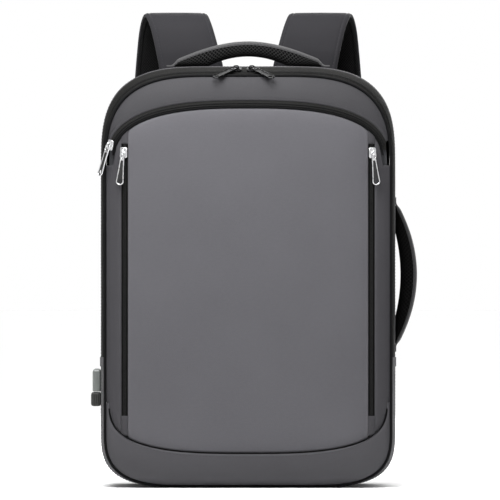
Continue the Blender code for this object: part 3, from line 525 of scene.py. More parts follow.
def curve_plate(name, lines, thick, bevel, material, place, lift=0.0):
    """A flat plate with rounded edges from a 2D outline and its holes, in the XY plane of a frame."""
    data = bpy.data.curves.new(name, "CURVE")
    data.dimensions = "2D"
    data.fill_mode = "BOTH"
    data.extrude = max(0.5 * thick - bevel, 0.00001)
    data.bevel_depth = bevel
    data.bevel_resolution = 3
    data.offset = -bevel
    for line in lines:
        spline = data.splines.new("POLY")
        spline.points.add(len(line) - 1)
        for slot, (x, y) in zip(spline.points, line):
            slot.co = (x, y, 0.0, 1.0)
        spline.use_cyclic_u = True
    holder = add_object(name + "_curve", data)
    mesh = evaluated_mesh(holder)
    bpy.data.objects.remove(holder)
    build = bmesh.new()
    build.from_mesh(mesh)
    bmesh.ops.remove_doubles(build, verts=build.verts[:], dist=0.000003)
    bmesh.ops.recalc_face_normals(build, faces=build.faces[:])
    uv = build.loops.layers.uv.get("weave") or build.loops.layers.uv.new("weave")
    for face in build.faces:
        for loop in face.loops:
            loop[uv].uv = (loop.vert.co.x, loop.vert.co.y)
    bmesh.ops.transform(build, matrix=place @ Matrix.Translation((0.0, 0.0, lift)), verts=build.verts[:])
    build.to_mesh(mesh)
    build.free()
    mesh.materials.clear()
    mesh.materials.append(material)
    mesh.shade_smooth()
    mesh.set_sharp_from_angle(angle=math.radians(50))
    return add_object(name, mesh)


def evaluated_mesh(obj):
    """An object's mesh as its curve or modifiers make it."""
    graph = bpy.context.evaluated_depsgraph_get()
    graph.update()
    return bpy.data.meshes.new_from_object(obj.evaluated_get(graph))


def merge(name, parts):
    """Joins pieces into one object that keeps each one's material."""
    mesh = bpy.data.meshes.new(name)
    build = bmesh.new()
    materials = []
    for part in parts:
        start = len(build.faces)
        part.data.transform(part.matrix_world)
        build.from_mesh(part.data)
        build.faces.ensure_lookup_table()
        own = part.data.materials[0]
        if own not in materials:
            materials.append(own)
        for face in build.faces[start:]:
            face.material_index = materials.index(own)
    build.to_mesh(mesh)
    build.free()
    for material in materials:
        mesh.materials.append(material)
    for part in parts:
        bpy.data.objects.remove(part)
    return add_object(name, mesh)


def label_piece(obj, slot, nodes):
    """Hides the CAD nodes that a piece stands for; its finish is not used."""
    if nodes:
        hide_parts(*nodes)


def settle(obj, body, slot, nodes=()):
    """Rides a piece on its body."""
    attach(obj, body)
    label_piece(obj, slot, nodes)


def bend_with_lid(obj, slot, nodes=()):
    """A piece that crosses the fold of the lid."""
    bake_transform(obj)
    label_piece(obj, slot, nodes)


# ---------- materials ----------

def put(tree, kind, **settings):
    node = tree.nodes.new(kind)
    for key, value in settings.items():
        setattr(node, key, value)
    return node


def wire(tree, value, socket):
    """Links a socket, or sets a number."""
    if hasattr(value, "is_output"):
        tree.links.new(value, socket)
    else:
        socket.default_value = value


def calc(tree, operation, first, second=0.0, third=0.0):
    node = put(tree, "ShaderNodeMath", operation=operation)
    for value, socket in zip((first, second, third), node.inputs):
        wire(tree, value, socket)
    return node.outputs[0]


def blend_color(tree, share, first, second, mode="MIX"):
    node = put(tree, "ShaderNodeMix", data_type="RGBA", blend_type=mode)
    wire(tree, share, node.inputs["Factor"])
    wire(tree, first, node.inputs["A"])
    wire(tree, second, node.inputs["B"])
    return node.outputs["Result"]


def tint(color, factor):
    """A colour made lighter or darker, with its alpha."""
    return (*(c * factor for c in color), 1.0)


def weave_coordinates(tree):
    """Metres across and along the cloth."""
    node = put(tree, "ShaderNodeUVMap", uv_map="weave")
    split = put(tree, "ShaderNodeSeparateXYZ")
    tree.links.new(node.outputs[0], split.inputs[0])
    return node.outputs[0], split.outputs[0], split.outputs[1]


def noise_at(tree, vector, size, detail=2.0, stretch_to=None):
    """Noise between 0 and 1 with grains about size long."""
    if stretch_to is not None:
        scaled = put(tree, "ShaderNodeVectorMath", operation="MULTIPLY")
        tree.links.new(vector, scaled.inputs[0])
        scaled.inputs[1].default_value = stretch_to
        vector = scaled.outputs[0]
    node = put(tree, "ShaderNodeTexNoise")
    tree.links.new(vector, node.inputs["Vector"])
    node.inputs["Scale"].default_value = 1.0 / size
    node.inputs["Detail"].default_value = detail
    return node.outputs["Fac"]


def waves(tree, value, turns):
    """Rounded ribs between 0 and 1."""
    return calc(tree, "ABSOLUTE", calc(tree, "SINE", calc(tree, "MULTIPLY", value, turns)))


def plain_weave(tree, u, v, pitch):
    """Height of over-and-under threads, 0 to 1, and which of the two lies on top."""
    warp = waves(tree, u, math.pi / pitch)
    weft = waves(tree, v, math.pi / pitch)
    cells = calc(
        tree, "ADD",
        calc(tree, "FLOOR", calc(tree, "DIVIDE", u, pitch)),
        calc(tree, "FLOOR", calc(tree, "DIVIDE", v, pitch)),
    )
    over = calc(tree, "PINGPONG", cells, 1.0)
    height = calc(tree, "ADD", calc(tree, "MULTIPLY", warp, over),
                  calc(tree, "MULTIPLY", weft, calc(tree, "SUBTRACT", 1.0, over)))
    return height, over


def twill_weave(tree, u, v, pitch):
    """Height of diagonal ribs broken into threads, 0 to 1."""
    rib = waves(tree, calc(tree, "ADD", u, v), math.pi / pitch)
    thread = waves(tree, calc(tree, "SUBTRACT", u, v), 0.5 * math.pi / pitch)
    return calc(tree, "MULTIPLY", rib, calc(tree, "MULTIPLY_ADD", thread, 0.45, 0.55)), thread


def bump_into(tree, shader, height, depth, strength=1.0):
    node = put(tree, "ShaderNodeBump")
    node.inputs["Strength"].default_value = strength
    node.inputs["Distance"].default_value = depth
    tree.links.new(height, node.inputs["Height"])
    tree.links.new(node.outputs["Normal"], shader.inputs["Normal"])


def start_material(name, roughness, metallic=0.0):
    material = bpy.data.materials.new(name)
    material.use_nodes = True
    tree = material.node_tree
    shader = tree.nodes["Principled BSDF"]
    shader.inputs["Roughness"].default_value = roughness
    shader.inputs["Metallic"].default_value = metallic
    return material, tree, shader


def fabric(name, color, pitch=0.0006, roughness=0.62, depth=0.00010, kind="plain", blotch=0.10,
           melange=0.10, sheen=0.03, wear=0.20, gloss=0.15):
    """Coated cloth: threads, two-tone yarn, slow colour drift, and paler, rubbed folded edges."""
    material, tree, shader = start_material(name, roughness)
    vector, u, v = weave_coordinates(tree)
    weave = plain_weave if kind == "plain" else twill_weave
    height, over = weave(tree, u, v, pitch)
    yarn = noise_at(tree, vector, 0.0016, 2.0, stretch_to=(0.35, 1.0, 1.0))
    threads = calc(tree, "MULTIPLY_ADD", over, 0.35, calc(tree, "MULTIPLY", yarn, 0.65))
    base = blend_color(tree, threads, tint(color, 1.0 - melange), tint(color, 1.0 + melange))
    drift = noise_at(tree, vector, 0.085, 3.0)
    shade = calc(tree, "MULTIPLY_ADD", drift, 2.0 * blotch, 1.0 - blotch)
    hollow = calc(tree, "MULTIPLY_ADD", height, 0.22, 0.84)
    value = put(tree, "ShaderNodeCombineColor")
    for socket in value.inputs:
        wire(tree, calc(tree, "MULTIPLY", shade, hollow), socket)
    base = blend_color(tree, 1.0, base, value.outputs[0], "MULTIPLY")
    rubbed = put(tree, "ShaderNodeAttribute", attribute_name="edge")
    rub = calc(tree, "MULTIPLY", rubbed.outputs["Fac"],
               calc(tree, "MULTIPLY", noise_at(tree, vector, 0.011, 4.0), 2.0 * wear))
    pale = tuple(min(c * 1.6 + 0.01, 1.0) for c in color)
    base = blend_color(tree, rub, base, (*pale, 1.0))
    tree.links.new(base, shader.inputs["Base Color"])
    rough = calc(tree, "MULTIPLY_ADD", noise_at(tree, vector, 0.030, 3.0), 0.16, roughness - 0.08)
    tree.links.new(rough, shader.inputs["Roughness"])
    shader.inputs["Sheen Weight"].default_value = sheen
    shader.inputs["Sheen Roughness"].default_value = 0.45
    shader.inputs["Specular IOR Level"].default_value = gloss
    bump_into(tree, shader, height, depth)
    return material


def tape_material(name, color, pitch=0.0007, roughness=0.75, gloss=0.12):
    """Zip tape: herringbone threads with a dull shine."""
    material, tree, shader = start_material(name, roughness)
    vector, u, v = weave_coordinates(tree)
    fold = calc(tree, "PINGPONG", v, 0.0011)
    height, _ = twill_weave(tree, u, fold, pitch)
    grains = noise_at(tree, vector, 0.004, 4.0)
    share = calc(tree, "MULTIPLY_ADD", height, 0.6, calc(tree, "MULTIPLY", grains, 0.4))
    tree.links.new(blend_color(tree, share, tint(color, 0.7), tint(color, 1.5)), shader.inputs["Base Color"])
    rough = calc(tree, "MULTIPLY_ADD", grains, 0.2, roughness - 0.1)
    tree.links.new(rough, shader.inputs["Roughness"])
    shader.inputs["Specular IOR Level"].default_value = gloss
    bump_into(tree, shader, height, 0.00012)
    return material


def mesh_material(name, thread, hole, pitch=0.0030, depth=0.0007):
    """3D air mesh: a diamond lattice of thick yarn over open cells."""
    material, tree, shader = start_material(name, 0.78)
    vector, u, v = weave_coordinates(tree)
    one = waves(tree, calc(tree, "MULTIPLY_ADD", u, 1.25, v), math.pi / pitch)
    two = waves(tree, calc(tree, "SUBTRACT", calc(tree, "MULTIPLY", u, 1.25), v), math.pi / pitch)
    cell = calc(tree, "MINIMUM", one, two)
    open_part = put(tree, "ShaderNodeMapRange", interpolation_type="SMOOTHSTEP")
    tree.links.new(cell, open_part.inputs["Value"])
    open_part.inputs["From Min"].default_value = 0.24
    open_part.inputs["From Max"].default_value = 0.58
    share = open_part.outputs["Result"]
    yarn = noise_at(tree, vector, 0.0006, 3.0)
    lattice = blend_color(tree, yarn, tint(thread, 1.0), tint(thread, 1.5))
    tree.links.new(blend_color(tree, share, lattice, (*hole, 1.0)), shader.inputs["Base Color"])
    shader.inputs["Specular IOR Level"].default_value = 0.05
    height = calc(tree, "MULTIPLY_ADD", yarn, 0.12, calc(tree, "SUBTRACT", 1.0, share))
    tree.links.new(calc(tree, "MULTIPLY_ADD", share, 0.15, 0.70), shader.inputs["Roughness"])
    bump_into(tree, shader, height, depth)
    return material


def webbing_material(name, color):
    """Narrow woven webbing with cross ribs."""
    material, tree, shader = start_material(name, 0.7)
    vector, u, v = weave_coordinates(tree)
    height, _ = plain_weave(tree, u, v, 0.0011)
    grains = noise_at(tree, vector, 0.0008, 3.0)
    share = calc(tree, "MULTIPLY_ADD", height, 0.6, calc(tree, "MULTIPLY", grains, 0.4))
    tree.links.new(blend_color(tree, share, tint(color, 1.0), tint(color, 1.7)), shader.inputs["Base Color"])
    rough = calc(tree, "MULTIPLY_ADD", grains, 0.15, 0.62)
    tree.links.new(rough, shader.inputs["Roughness"])
    bump_into(tree, shader, height, 0.00025)
    return material


def hard_material(name, color, roughness, metallic=0.0, grain=0.0006, depth=0.00003, drift=0.15, coat=0.0):
    """Plated metal, moulded plastic or rubber: fine grain, uneven shine and faint rubbed patches."""
    material, tree, shader = start_material(name, roughness, metallic)
    place = put(tree, "ShaderNodeTexCoord")
    vector = place.outputs["Object"]
    grains = noise_at(tree, vector, grain, 4.0)
    patches = noise_at(tree, vector, 0.006, 3.0)
    base = blend_color(tree, patches, tint(color, 1.0 - drift), tint(color, 1.0 + drift))
    tree.links.new(base, shader.inputs["Base Color"])
    rough = calc(tree, "MULTIPLY_ADD", patches, 0.2, roughness - 0.1)
    rough = calc(tree, "MULTIPLY_ADD", grains, 0.08, rough)
    tree.links.new(rough, shader.inputs["Roughness"])
    shader.inputs["Coat Weight"].default_value = coat
    bump_into(tree, shader, grains, depth)
    return material


def plain_material(name, color, roughness):
    """A floor's even matt finish with a faint tooth."""
    material, tree, shader = start_material(name, roughness)
    place = put(tree, "ShaderNodeTexCoord")
    grains = noise_at(tree, place.outputs["Object"], 0.002, 3.0)
    tree.links.new(blend_color(tree, grains, tint(color, 0.995), tint(color, 1.0)), shader.inputs["Base Color"])
    return material


GREY = fabric("coated_grey", (0.0630, 0.0618, 0.0682))
# The upper band's grey is the front cloth made darker: painted shade for the band lying under the piping.
GREY_BAND_PAINTED_SHADE = fabric("coated_grey_band_painted_shade", (0.0255, 0.0249, 0.0274))
# The side strips' and side zip tabs' grey is the front cloth made darker: painted shade, a shaded copy of the
# same cloth.
GREY_PAINTED_SHADE = fabric("coated_grey_painted_shade", (0.0310, 0.0301, 0.0335))
GREY_BOOT = fabric("coated_grey_boot", (0.0448, 0.0438, 0.0480), pitch=0.0007, depth=0.00013)
# The straps' grey, also on their yoke patches and bindings, is far darker than the front cloth; part of that is
# painted shade that offsets the strong light on these top-facing parts.
GREY_STRAP_PAINTED_SHADE = fabric("coated_grey_strap_painted_shade", (0.0122, 0.0118, 0.0138), gloss=0.12)
# The handles' grey is the same cloth made darker: painted shade that offsets the strong light on their tops.
GREY_HANDLE_PAINTED_SHADE = fabric("coated_grey_handle_painted_shade", (0.026, 0.0256, 0.0265), gloss=0.4)
GREY_SIDE = fabric("coated_grey_side", (0.0370, 0.0362, 0.0392))
TAPE_BLACK = tape_material("zip_tape_black", (0.0050, 0.0049, 0.0046), gloss=0.08)
TAPE_ARCH = tape_material("zip_tape_arch", (0.0078, 0.0077, 0.0072))
TAPE_SIDE = tape_material("zip_tape_side", (0.0020, 0.0020, 0.0019), gloss=0.06)
COIL_BLACK = tape_material("zip_coil_black", (0.0025, 0.0025, 0.0025), pitch=0.0005, roughness=0.6)
PIPING_BLACK = fabric("piping_black", (0.0015, 0.0015, 0.0018), roughness=0.7, melange=0.2,
                      sheen=0.0, gloss=0.08)
MESH_BLACK = mesh_material("air_mesh_black", (0.0065, 0.0065, 0.0067), (0.0003, 0.0003, 0.0003))
MESH_GRIP = mesh_material("air_mesh_grip", (0.017, 0.017, 0.017), (0.0002, 0.0002, 0.0002), pitch=0.0040)
MESH_SIDE = mesh_material("air_mesh_side_grip", (0.0050, 0.0050, 0.0050), (0.0001, 0.0001, 0.0001),
                          pitch=0.0040)
MESH_BACK = mesh_material("air_mesh_back", (0.030, 0.030, 0.032), (0.0012, 0.0012, 0.0013), pitch=0.0034)
MESH_FINE = mesh_material("air_mesh_fine", (0.024, 0.024, 0.026), (0.0020, 0.0020, 0.0022), pitch=0.0024)
WEB_BLACK = webbing_material("webbing_black", (0.006, 0.006, 0.0065))
THREAD_GREY = fabric("thread_grey", (0.024, 0.023, 0.026), pitch=0.0003, depth=0.00004)
THREAD_BLACK = fabric("thread_black", (0.006, 0.006, 0.0065), pitch=0.0003, depth=0.00004)
LINING = fabric("lining_cloth", (0.040, 0.041, 0.045), pitch=0.0004, roughness=0.5, kind="twill", sheen=0.2)
LINING_PAD = fabric("lining_padded", (0.022, 0.023, 0.025), pitch=0.0006, roughness=0.75, sheen=0.2)
NICKEL = hard_material("plated_nickel", (0.66, 0.66, 0.67), 0.24, 1.0, grain=0.0009, drift=0.08)
GUNMETAL = hard_material("black_nickel", (0.012, 0.012, 0.013), 0.17, 1.0, grain=0.0009, coat=0.12)
ENAMEL = hard_material("black_enamel", (0.0015, 0.0015, 0.0015), 0.45, 0.0)
PLASTIC_BLACK = hard_material("moulded_black", (0.010, 0.010, 0.011), 0.42, grain=0.0005, depth=0.00006)
PORT_GREY = hard_material("port_grey", (0.118, 0.128, 0.123), 0.34, grain=0.0004, depth=0.00003, coat=0.1)
RUBBER_BLACK = hard_material("rubber_black", (0.012, 0.013, 0.012), 0.58, grain=0.0004, depth=0.00008)
SOCKET_STEEL = hard_material("socket_plate", (0.60, 0.60, 0.60), 0.25, 1.0)
FLOOR = plain_material("studio_floor", (0.94, 0.94, 0.94), 0.9)


# ---------- camera, light and floor ----------

FRAME_WIDTH = 0.519
CAMERA_DISTANCE = 9.0
CAMERA_ELEVATION = math.radians(0.7)
LOOK_AT = Vector((0.0020, 0.0, 0.2440))
# Lamps: name, place, target, size and power
LAMPS = (
    ("key", (-0.12, -0.42, 0.86), (0.0, -0.06, 0.34), 0.5, 14.0),
    ("fill", (1.5, -1.8, 0.9), (0.0, 0.0, 0.25), 1.4, 1.5),
    ("rim", (0.5, 1.8, 1.1), (0.0, 0.0, 0.25), 1.4, 30.0),
)
DAYLIGHT_POWER = 2.2
DAYLIGHT_SPREAD = math.radians(50)
DAYLIGHT_DIRECTION = Vector((0.05, 0.10, -1.0))
FLOOR_REACH = 9.5
FLOOR_STEPS = 12
FLOOR_Z = -0.0006


def build_camera():
    data = bpy.data.cameras.new("camera")
    data.sensor_width = 36.0
    data.lens = data.sensor_width * CAMERA_DISTANCE / FRAME_WIDTH
    back = Vector((0.0, -math.cos(CAMERA_ELEVATION), math.sin(CAMERA_ELEVATION)))
    camera = add_object("camera", data)
    camera.location = LOOK_AT + back * CAMERA_DISTANCE
    camera.rotation_euler = (-back).to_track_quat("-Z", "Y").to_euler()
    data.clip_end = 50.0
    bpy.context.scene.camera = camera


def build_light(name, place, target, size, power):
    data = bpy.data.lights.new(name, "AREA")
    data.shape = "RECTANGLE"
    data.size = data.size_y = size
    data.energy = power
    light = add_object(name, data)
    light.location = place
    light.rotation_euler = (Vector(target) - Vector(place)).to_track_quat("-Z", "Y").to_euler()


def build_world():
    """A pale sky that is white along the horizon and dimmer overhead, where the lamps do the work."""
    world = bpy.data.worlds.new("studio")
    world.use_nodes = True
    tree = world.node_tree
    sky = tree.nodes["Background"]
    sky.inputs["Color"].default_value = (1.0, 1.0, 1.0, 1.0)
    place = put(tree, "ShaderNodeTexCoord")
    split = put(tree, "ShaderNodeSeparateXYZ")
    tree.links.new(place.outputs["Generated"], split.inputs[0])
    fade = put(tree, "ShaderNodeMapRange", interpolation_type="SMOOTHSTEP")
    tree.links.new(split.outputs[2], fade.inputs["Value"])
    fade.inputs["From Min"].default_value = 0.06
    fade.inputs["From Max"].default_value = 0.16
    fade.inputs["To Min"].default_value = 1.0
    fade.inputs["To Max"].default_value = 0.40
    tree.links.new(fade.outputs["Result"], sky.inputs["Strength"])
    bpy.context.scene.world = world


def build_studio():
    build_world()
    bpy.context.scene.view_settings.view_transform = "Standard"
    for lamp in LAMPS:
        build_light(*lamp)
    data = bpy.data.lights.new("daylight", "SUN")
    data.energy = DAYLIGHT_POWER
    data.angle = DAYLIGHT_SPREAD
    sun = add_object("daylight", data)
    sun.rotation_euler = DAYLIGHT_DIRECTION.to_track_quat("-Z", "Y").to_euler()
    shape = Shape()
    marks = [mix(-FLOOR_REACH, FLOOR_REACH, i / FLOOR_STEPS) for i in range(FLOOR_STEPS + 1)]
    shape.grid([[(x, y, FLOOR_Z) for x in marks] for y in marks])
    floor = shape.piece("floor", FLOOR)
    if floor.data.polygons[0].normal.z < 0.0:
        floor.data.flip_normals()


build_camera()
build_studio()


# ---------- panels of the front ----------

SURFACES = []


def note_surface(obj):
    """Keeps a piece's shape, so that stitches can be laid on it."""
    mesh = obj.data
    SURFACES.append(BVHTree.FromPolygons([v.co.copy() for v in mesh.vertices],
                                         [tuple(p.vertices) for p in mesh.polygons]))


def touch(origin, direction, reach=0.2):
    """Nearest point and normal of the noted pieces along a ray."""
    best = None
    for tree in SURFACES:
        place, normal, _, distance = tree.ray_cast(origin, direction, reach)
        if place is not None and (best is None or distance < best[2]):
            best = (place, normal, distance)
    return best


def shares_along(length, step):
    """Shares of a length, closer together by its folded edges."""
    limit = 0.45 * length
    ends = [d for d in EDGE_STATIONS if d < limit]
    rest = length - 2.0 * ends[-1]
    count = max(int(round(rest / step)), 1)
    inner = [ends[-1] + rest * i / count for i in range(1, count)]
    marks = ends + inner + [length - d for d in reversed(ends)]
    return [m / length for m in marks]


def edge_drop(distance, dip):
    """How far a panel falls towards its folded edge."""
    roll = clamp(1.0 - distance / FOLDED_EDGE)
    soft = clamp(1.0 - distance / SOFT_EDGE)
    return FOLDED_EDGE * (1.0 - math.sqrt(max(1.0 - roll * roll, 0.0))) + dip * soft * soft


QUILT_THICK = 0.0022
QUILT_WANDER = 0.00035


def quilt(name, low, high, width, height, material, lift, dips,
          step=0.0042, seed=0.0):
    """A front panel between two lines. low and high give (x, z) at a share of the way across;
    dips are the depths of its edges: low, high, left and right."""
    columns = shares_along(width, step)
    rows = shares_along(height, step)
    grid = []
    edges = []
    for r in rows:
        line = []
        shade = []
        for c in columns:
            a, b = low(c), high(c)
            x, z = mix(a[0], b[0], r), mix(a[1], b[1], r)
            tall = math.hypot(b[0] - a[0], b[1] - a[1])
            gaps = (r * tall, (1.0 - r) * tall, c * width, (1.0 - c) * width)
            drop = sum(edge_drop(gap, dip) for gap, dip in zip(gaps, dips))
            calm = clamp(min(gaps) / 0.02)
            wave = QUILT_WANDER * calm * (ripple(x, z, 0.055, seed) + 0.5 * ripple(x, z, 0.022, seed + 7.0))
            line.append(on_front(x, z, lift - drop + wave))
            shade.append(clamp(1.0 - min(gaps) / 0.0035))
        grid.append(line)
        edges.append(shade)
    flat = np.array([[(p.x, p.z) for p in line] for line in grid])
    return cloth(name, grid, QUILT_THICK, material, FAR_BEHIND, edge=np.array(edges), uv=flat)


ZIP_INNER = SIDE_ZIP_X - SIDE_ZIP_HALF
ZIP_OUTER = SIDE_ZIP_X + SIDE_ZIP_HALF
PIPING_TUCK = -0.0002
PIPING_INNER = FRONT_HALF_WIDTH + SIDE_BULGE - PIPING_TUCK


def build_front_panel():
    def low(c):
        x = mix(-ZIP_INNER, ZIP_INNER, c)
        return x, smile_height(x, -0.0004)

    def high(c):
        x = mix(-ZIP_INNER, ZIP_INNER, c)
        return x, arch_height(x, -ARCH_TAPE_HALF + 0.0006)

    panel = quilt("front_panel_cloth", low, high, 2.0 * ZIP_INNER, 0.345, GREY, lift=0.0006,
                  dips=(0.0016, 0.0009, 0.0007, 0.0007), step=0.0044)
    note_surface(panel)
    bend_with_lid(panel, "coated_fabric", ("front_panel", "lower_front_panel"))


def build_side_strips():
    for side, label in SIDES:
        def low(c, side=side):
            x = mix(ZIP_OUTER, PIPING_INNER, c)
            return side * x, smile_height(x, -0.0004)

        def high(c, side=side):
            x = mix(ZIP_OUTER, PIPING_INNER, c)
            arch_z = arch_height(x, -ARCH_TAPE_HALF + 0.0006)
            return side * x, mix(arch_z, ARCH_BASE_Z, smooth(c * 1.4 - 0.4) * 0.5)

        strip = quilt(f"side_strip_{label}_cloth", low, high, PIPING_INNER - ZIP_OUTER, 0.275, GREY_PAINTED_SHADE,
                      lift=0.0004, dips=(0.0010, 0.0008, 0.0006, 0.0005), seed=3.0 + side)
        note_surface(strip)
        bend_with_lid(strip, "coated_fabric", (f"side_strip_{label}",))


def line_reader(line):
    """Points of a finely divided line by their share of the way along it."""
    last = len(line) - 1
    return lambda share: line[int(round(share * last))]


def line_length(line):
    return float(np.linalg.norm(np.diff(line, axis=0), axis=1).sum())


def build_upper_band():
    count = 400
    low = arch_line(ARCH_TAPE_HALF - 0.0006, 0.3560, count)
    loop = stretch(outline(0.0, PIPING_TUCK), FOLD_STATION, mirror_station(FOLD_STATION))
    high = resample([p for p in loop[::-1] if p[1] > 0.3575], count)
    band = quilt("upper_band_cloth", line_reader(low), line_reader(high), line_length(low), 0.026, GREY_BAND_PAINTED_SHADE,
                 lift=0.0006, dips=(0.0008, 0.0006, 0.0002, 0.0002), step=0.0030, seed=5.0)
    note_surface(band)
    settle(band, "lid", "coated_fabric", ("upper_band",))


def build_boot():
    """The boot panel: its top edge is folded over the panels above it."""
    seam = smile_line(300)
    loop = outline(0.0, PIPING_TUCK)
    left = mirror_station(CORNER_STATION) - 2 * HALF_STATIONS
    border = [loop[i % len(loop)] for i in range(left, CORNER_STATION + 1)]
    corner_z = SMILE_BASE_Z - 0.0006
    border = resample([(border[0][0], corner_z), *border, (border[-1][0], corner_z)], 300)
    boot = quilt("bottom_boot_cloth", line_reader(border), line_reader(seam), line_length(seam), 0.036,
                 GREY_BOOT, lift=0.0014, dips=(0.0010, 0.0003, 0.0, 0.0), step=0.0036, seed=9.0)
    note_surface(boot)
    settle(boot, "pack", "gusset_fabric", ("bottom_boot",))
    # A thin black cord laid along the boot's seam: painted shadow that thickens the dark line of the seam.
    line = [(x, z + 0.0006) for x, z in seam[6:-6]]
    painted_seam_shadow = sweep("boot_seam_painted_shadow", *along_front(line, 0.0002), circle(0.0008, 8), PIPING_BLACK)
    settle(painted_seam_shadow, "pack", "webbing")


# ---------- zips ----------

def coil(name, path, normals, half_width, rise):
    """The zip's coil under its tape: two ribbed ridges with a parting line between them."""
    path = as_rows(path)
    lengths = distances(path)
    marks = np.linspace(0.0, lengths[-1], int(lengths[-1] / (COIL_PITCH / 3.0)) + 1)
    line = points_at(marks, lengths, path)
    up = unit_rows(points_at(marks, lengths, as_rows(normals)))
    side = np.cross(unit_rows(np.gradient(line, axis=0)), up)
    rows = []
    for across in (-1.0, -0.86, -0.62, -0.38, -0.14, 0.0, 0.14, 0.38, 0.62, 0.86, 1.0):
        ridge = math.sqrt(max(1.0 - (2.0 * abs(across) - 1.0) ** 2, 0.0))
        phase = 0.0 if across < 0.0 else 0.5
        rib = 0.78 + 0.22 * np.cos(2.0 * math.pi * (marks / COIL_PITCH + phase))
        height = rise * (0.12 + 0.88 * ridge * rib)
        if abs(across) == 1.0:
            height = np.full(len(marks), -0.25 * rise)
        rows.append(line + side * across * half_width + up * height[:, None])
    return cloth(name, rows, 0.0004, COIL_BLACK, line.mean(axis=0) - up.mean(axis=0) * 3.0)


def build_main_zip():
    """Tapes of the main zip on the shoulder, their coil, and the cloth shoulder below the zip's ends."""
    left = mirror_station(FOLD_STATION)
    rear_edge = SHOULDER_REAR_Y + 0.0006
    front_rows = [(SHOULDER_FRONT_Y + 0.0002, -0.0002), (-0.0580, 0.0), (-0.0560, 0.0001), (-0.0545, 0.0001),
                  (SPLIT_Y - 0.0002, 0.0001)]
    rear_rows = [(SPLIT_Y + 0.0002, 0.0001), (-0.0500, 0.0001), (-0.0460, 0.0002), (-0.0410, 0.0002),
                 (-0.0380, 0.0), (rear_edge, -0.0004)]
    tapes = (("lid", "lid", "front", front_rows), ("body", "pack", "rear", rear_rows))
    for label, body, part, tape_rows in tapes:
        rows = [stretch(wall_loop(y, lift), FOLD_STATION, left) for y, lift in tape_rows]
        tape = cloth(f"main_zip_tape_{label}", rows, 0.0010, TAPE_BLACK, BODY_CENTRE)
        settle(tape, body, "zip_tape", (f"main_zip_tape_{part}",))
    for label, body, side in (("lid", "lid", -1.0), ("body", "pack", 1.0)):
        path, outward = loop_row(SPLIT_Y + side * 0.0011, 0.0002, FOLD_STATION, left)
        settle(coil(f"main_zip_coil_{label}", path, unit_rows(outward), 0.00105, 0.0008), body, "zip_tape")
    low_rows = [(SHOULDER_FRONT_Y, -0.0003), (-0.0575, 0.0002), (-0.0530, 0.0006), (-0.0480, 0.0007),
                (-0.0430, 0.0006), (-0.0385, 0.0002), (rear_edge, -0.0004)]
    rows = [stretch(wall_loop(y, lift), left, FOLD_STATION) for y, lift in low_rows]
    shoulder = cloth("lower_shoulder_cloth", rows, 0.0012, GREY_SIDE, BODY_CENTRE)
    note_surface(shoulder)
    settle(shoulder, "pack", "gusset_fabric", ("lower_shoulder",))
    build_zip_garages()


def build_zip_garages():
    """Folded cloth tabs over the two ends of the main zip."""
    depths = (-0.0590, -0.0582, -0.0560, -0.0500, -0.0440, -0.0400, -0.0374, -0.0366)
    drops = (0.0100, 0.0096, 0.0080, 0.0050, 0.0020, 0.0004, 0.0)
    for side, label in SIDES:
        rows = []
        for y in depths:
            edge = clamp(min(y - depths[0], depths[-1] - y) / 0.0010)
            line = []
            for drop in drops:
                share = 0.2 if drop in (drops[0], drops[-1]) else 1.0
                lift = 0.0006 + 0.0009 * math.sqrt(edge) * share
                width = mix(FRONT_HALF_WIDTH + SIDE_BULGE, HALF_WIDTH, shoulder_share(y)) + lift
                line.append((side * width, y, FOLD_Z - drop))
            rows.append(line)
        tab = cloth(f"main_zip_tab_{label}", rows, 0.0008, GREY_SIDE, BODY_CENTRE)
        settle(tab, "pack", "gusset_fabric")


def build_arch_zip():
    count = 150
    offsets = (-ARCH_TAPE_HALF - 0.0016, -ARCH_TAPE_HALF, -0.0030, -0.0015, 0.0, 0.0015, 0.0030, ARCH_TAPE_HALF,
               ARCH_TAPE_HALF + 0.0012)
    rows = []
    for offset in offsets:
        line = arch_line(offset, ARCH_FOOT_Z + 0.002, count)
        sink = -0.0014 if abs(offset) < 0.005 else -0.0018
        rows.append([on_front(x, z, sink) for x, z in line])
    tape = cloth("arch_zip_tape", rows, 0.0008, TAPE_ARCH, FAR_BEHIND)
    settle(tape, "lid", "zip_tape", ("arch_zip",))
    line = arch_line(0.0002, ARCH_FOOT_Z + 0.006, count)
    settle(coil("arch_zip_coil", *along_front(line, -0.0013), 0.0021, 0.0009), "lid", "zip_tape")
    line = arch_line(-ARCH_TAPE_HALF + 0.0014, ARCH_FOOT_Z - 0.004, count)
    piping = sweep("arch_piping", *along_front(line, -0.0001), circle(0.00085, 8), PIPING_BLACK)
    settle(piping, "lid", "webbing")


def build_side_zips():
    steps = 70
    heights = [mix(SIDE_ZIP_FOOT_Z - 0.004, SIDE_ZIP_TOP_Z + 0.004, i / steps) for i in range(steps + 1)]
    for side, label in SIDES:
        rows = []
        for offset in (-0.0048, -0.0034, -0.0018, 0.0, 0.0018, 0.0034, 0.0048):
            sink = -0.0015 if abs(offset) < 0.004 else -0.0022
            rows.append([on_front(side * SIDE_ZIP_X + offset, z, sink) for z in heights])
        tape = cloth(f"side_zip_{label}_tape", rows, 0.0007, TAPE_SIDE, FAR_BEHIND)
        bend_with_lid(tape, "zip_tape", (f"side_zip_{label}",))
        line = [(side * SIDE_ZIP_X, z) for z in heights[1:-1]]
        bend_with_lid(coil(f"side_zip_{label}_coil", *along_front(line, -0.0014), 0.0019, 0.0008), "zip_tape")
        build_zip_tabs(side, label)


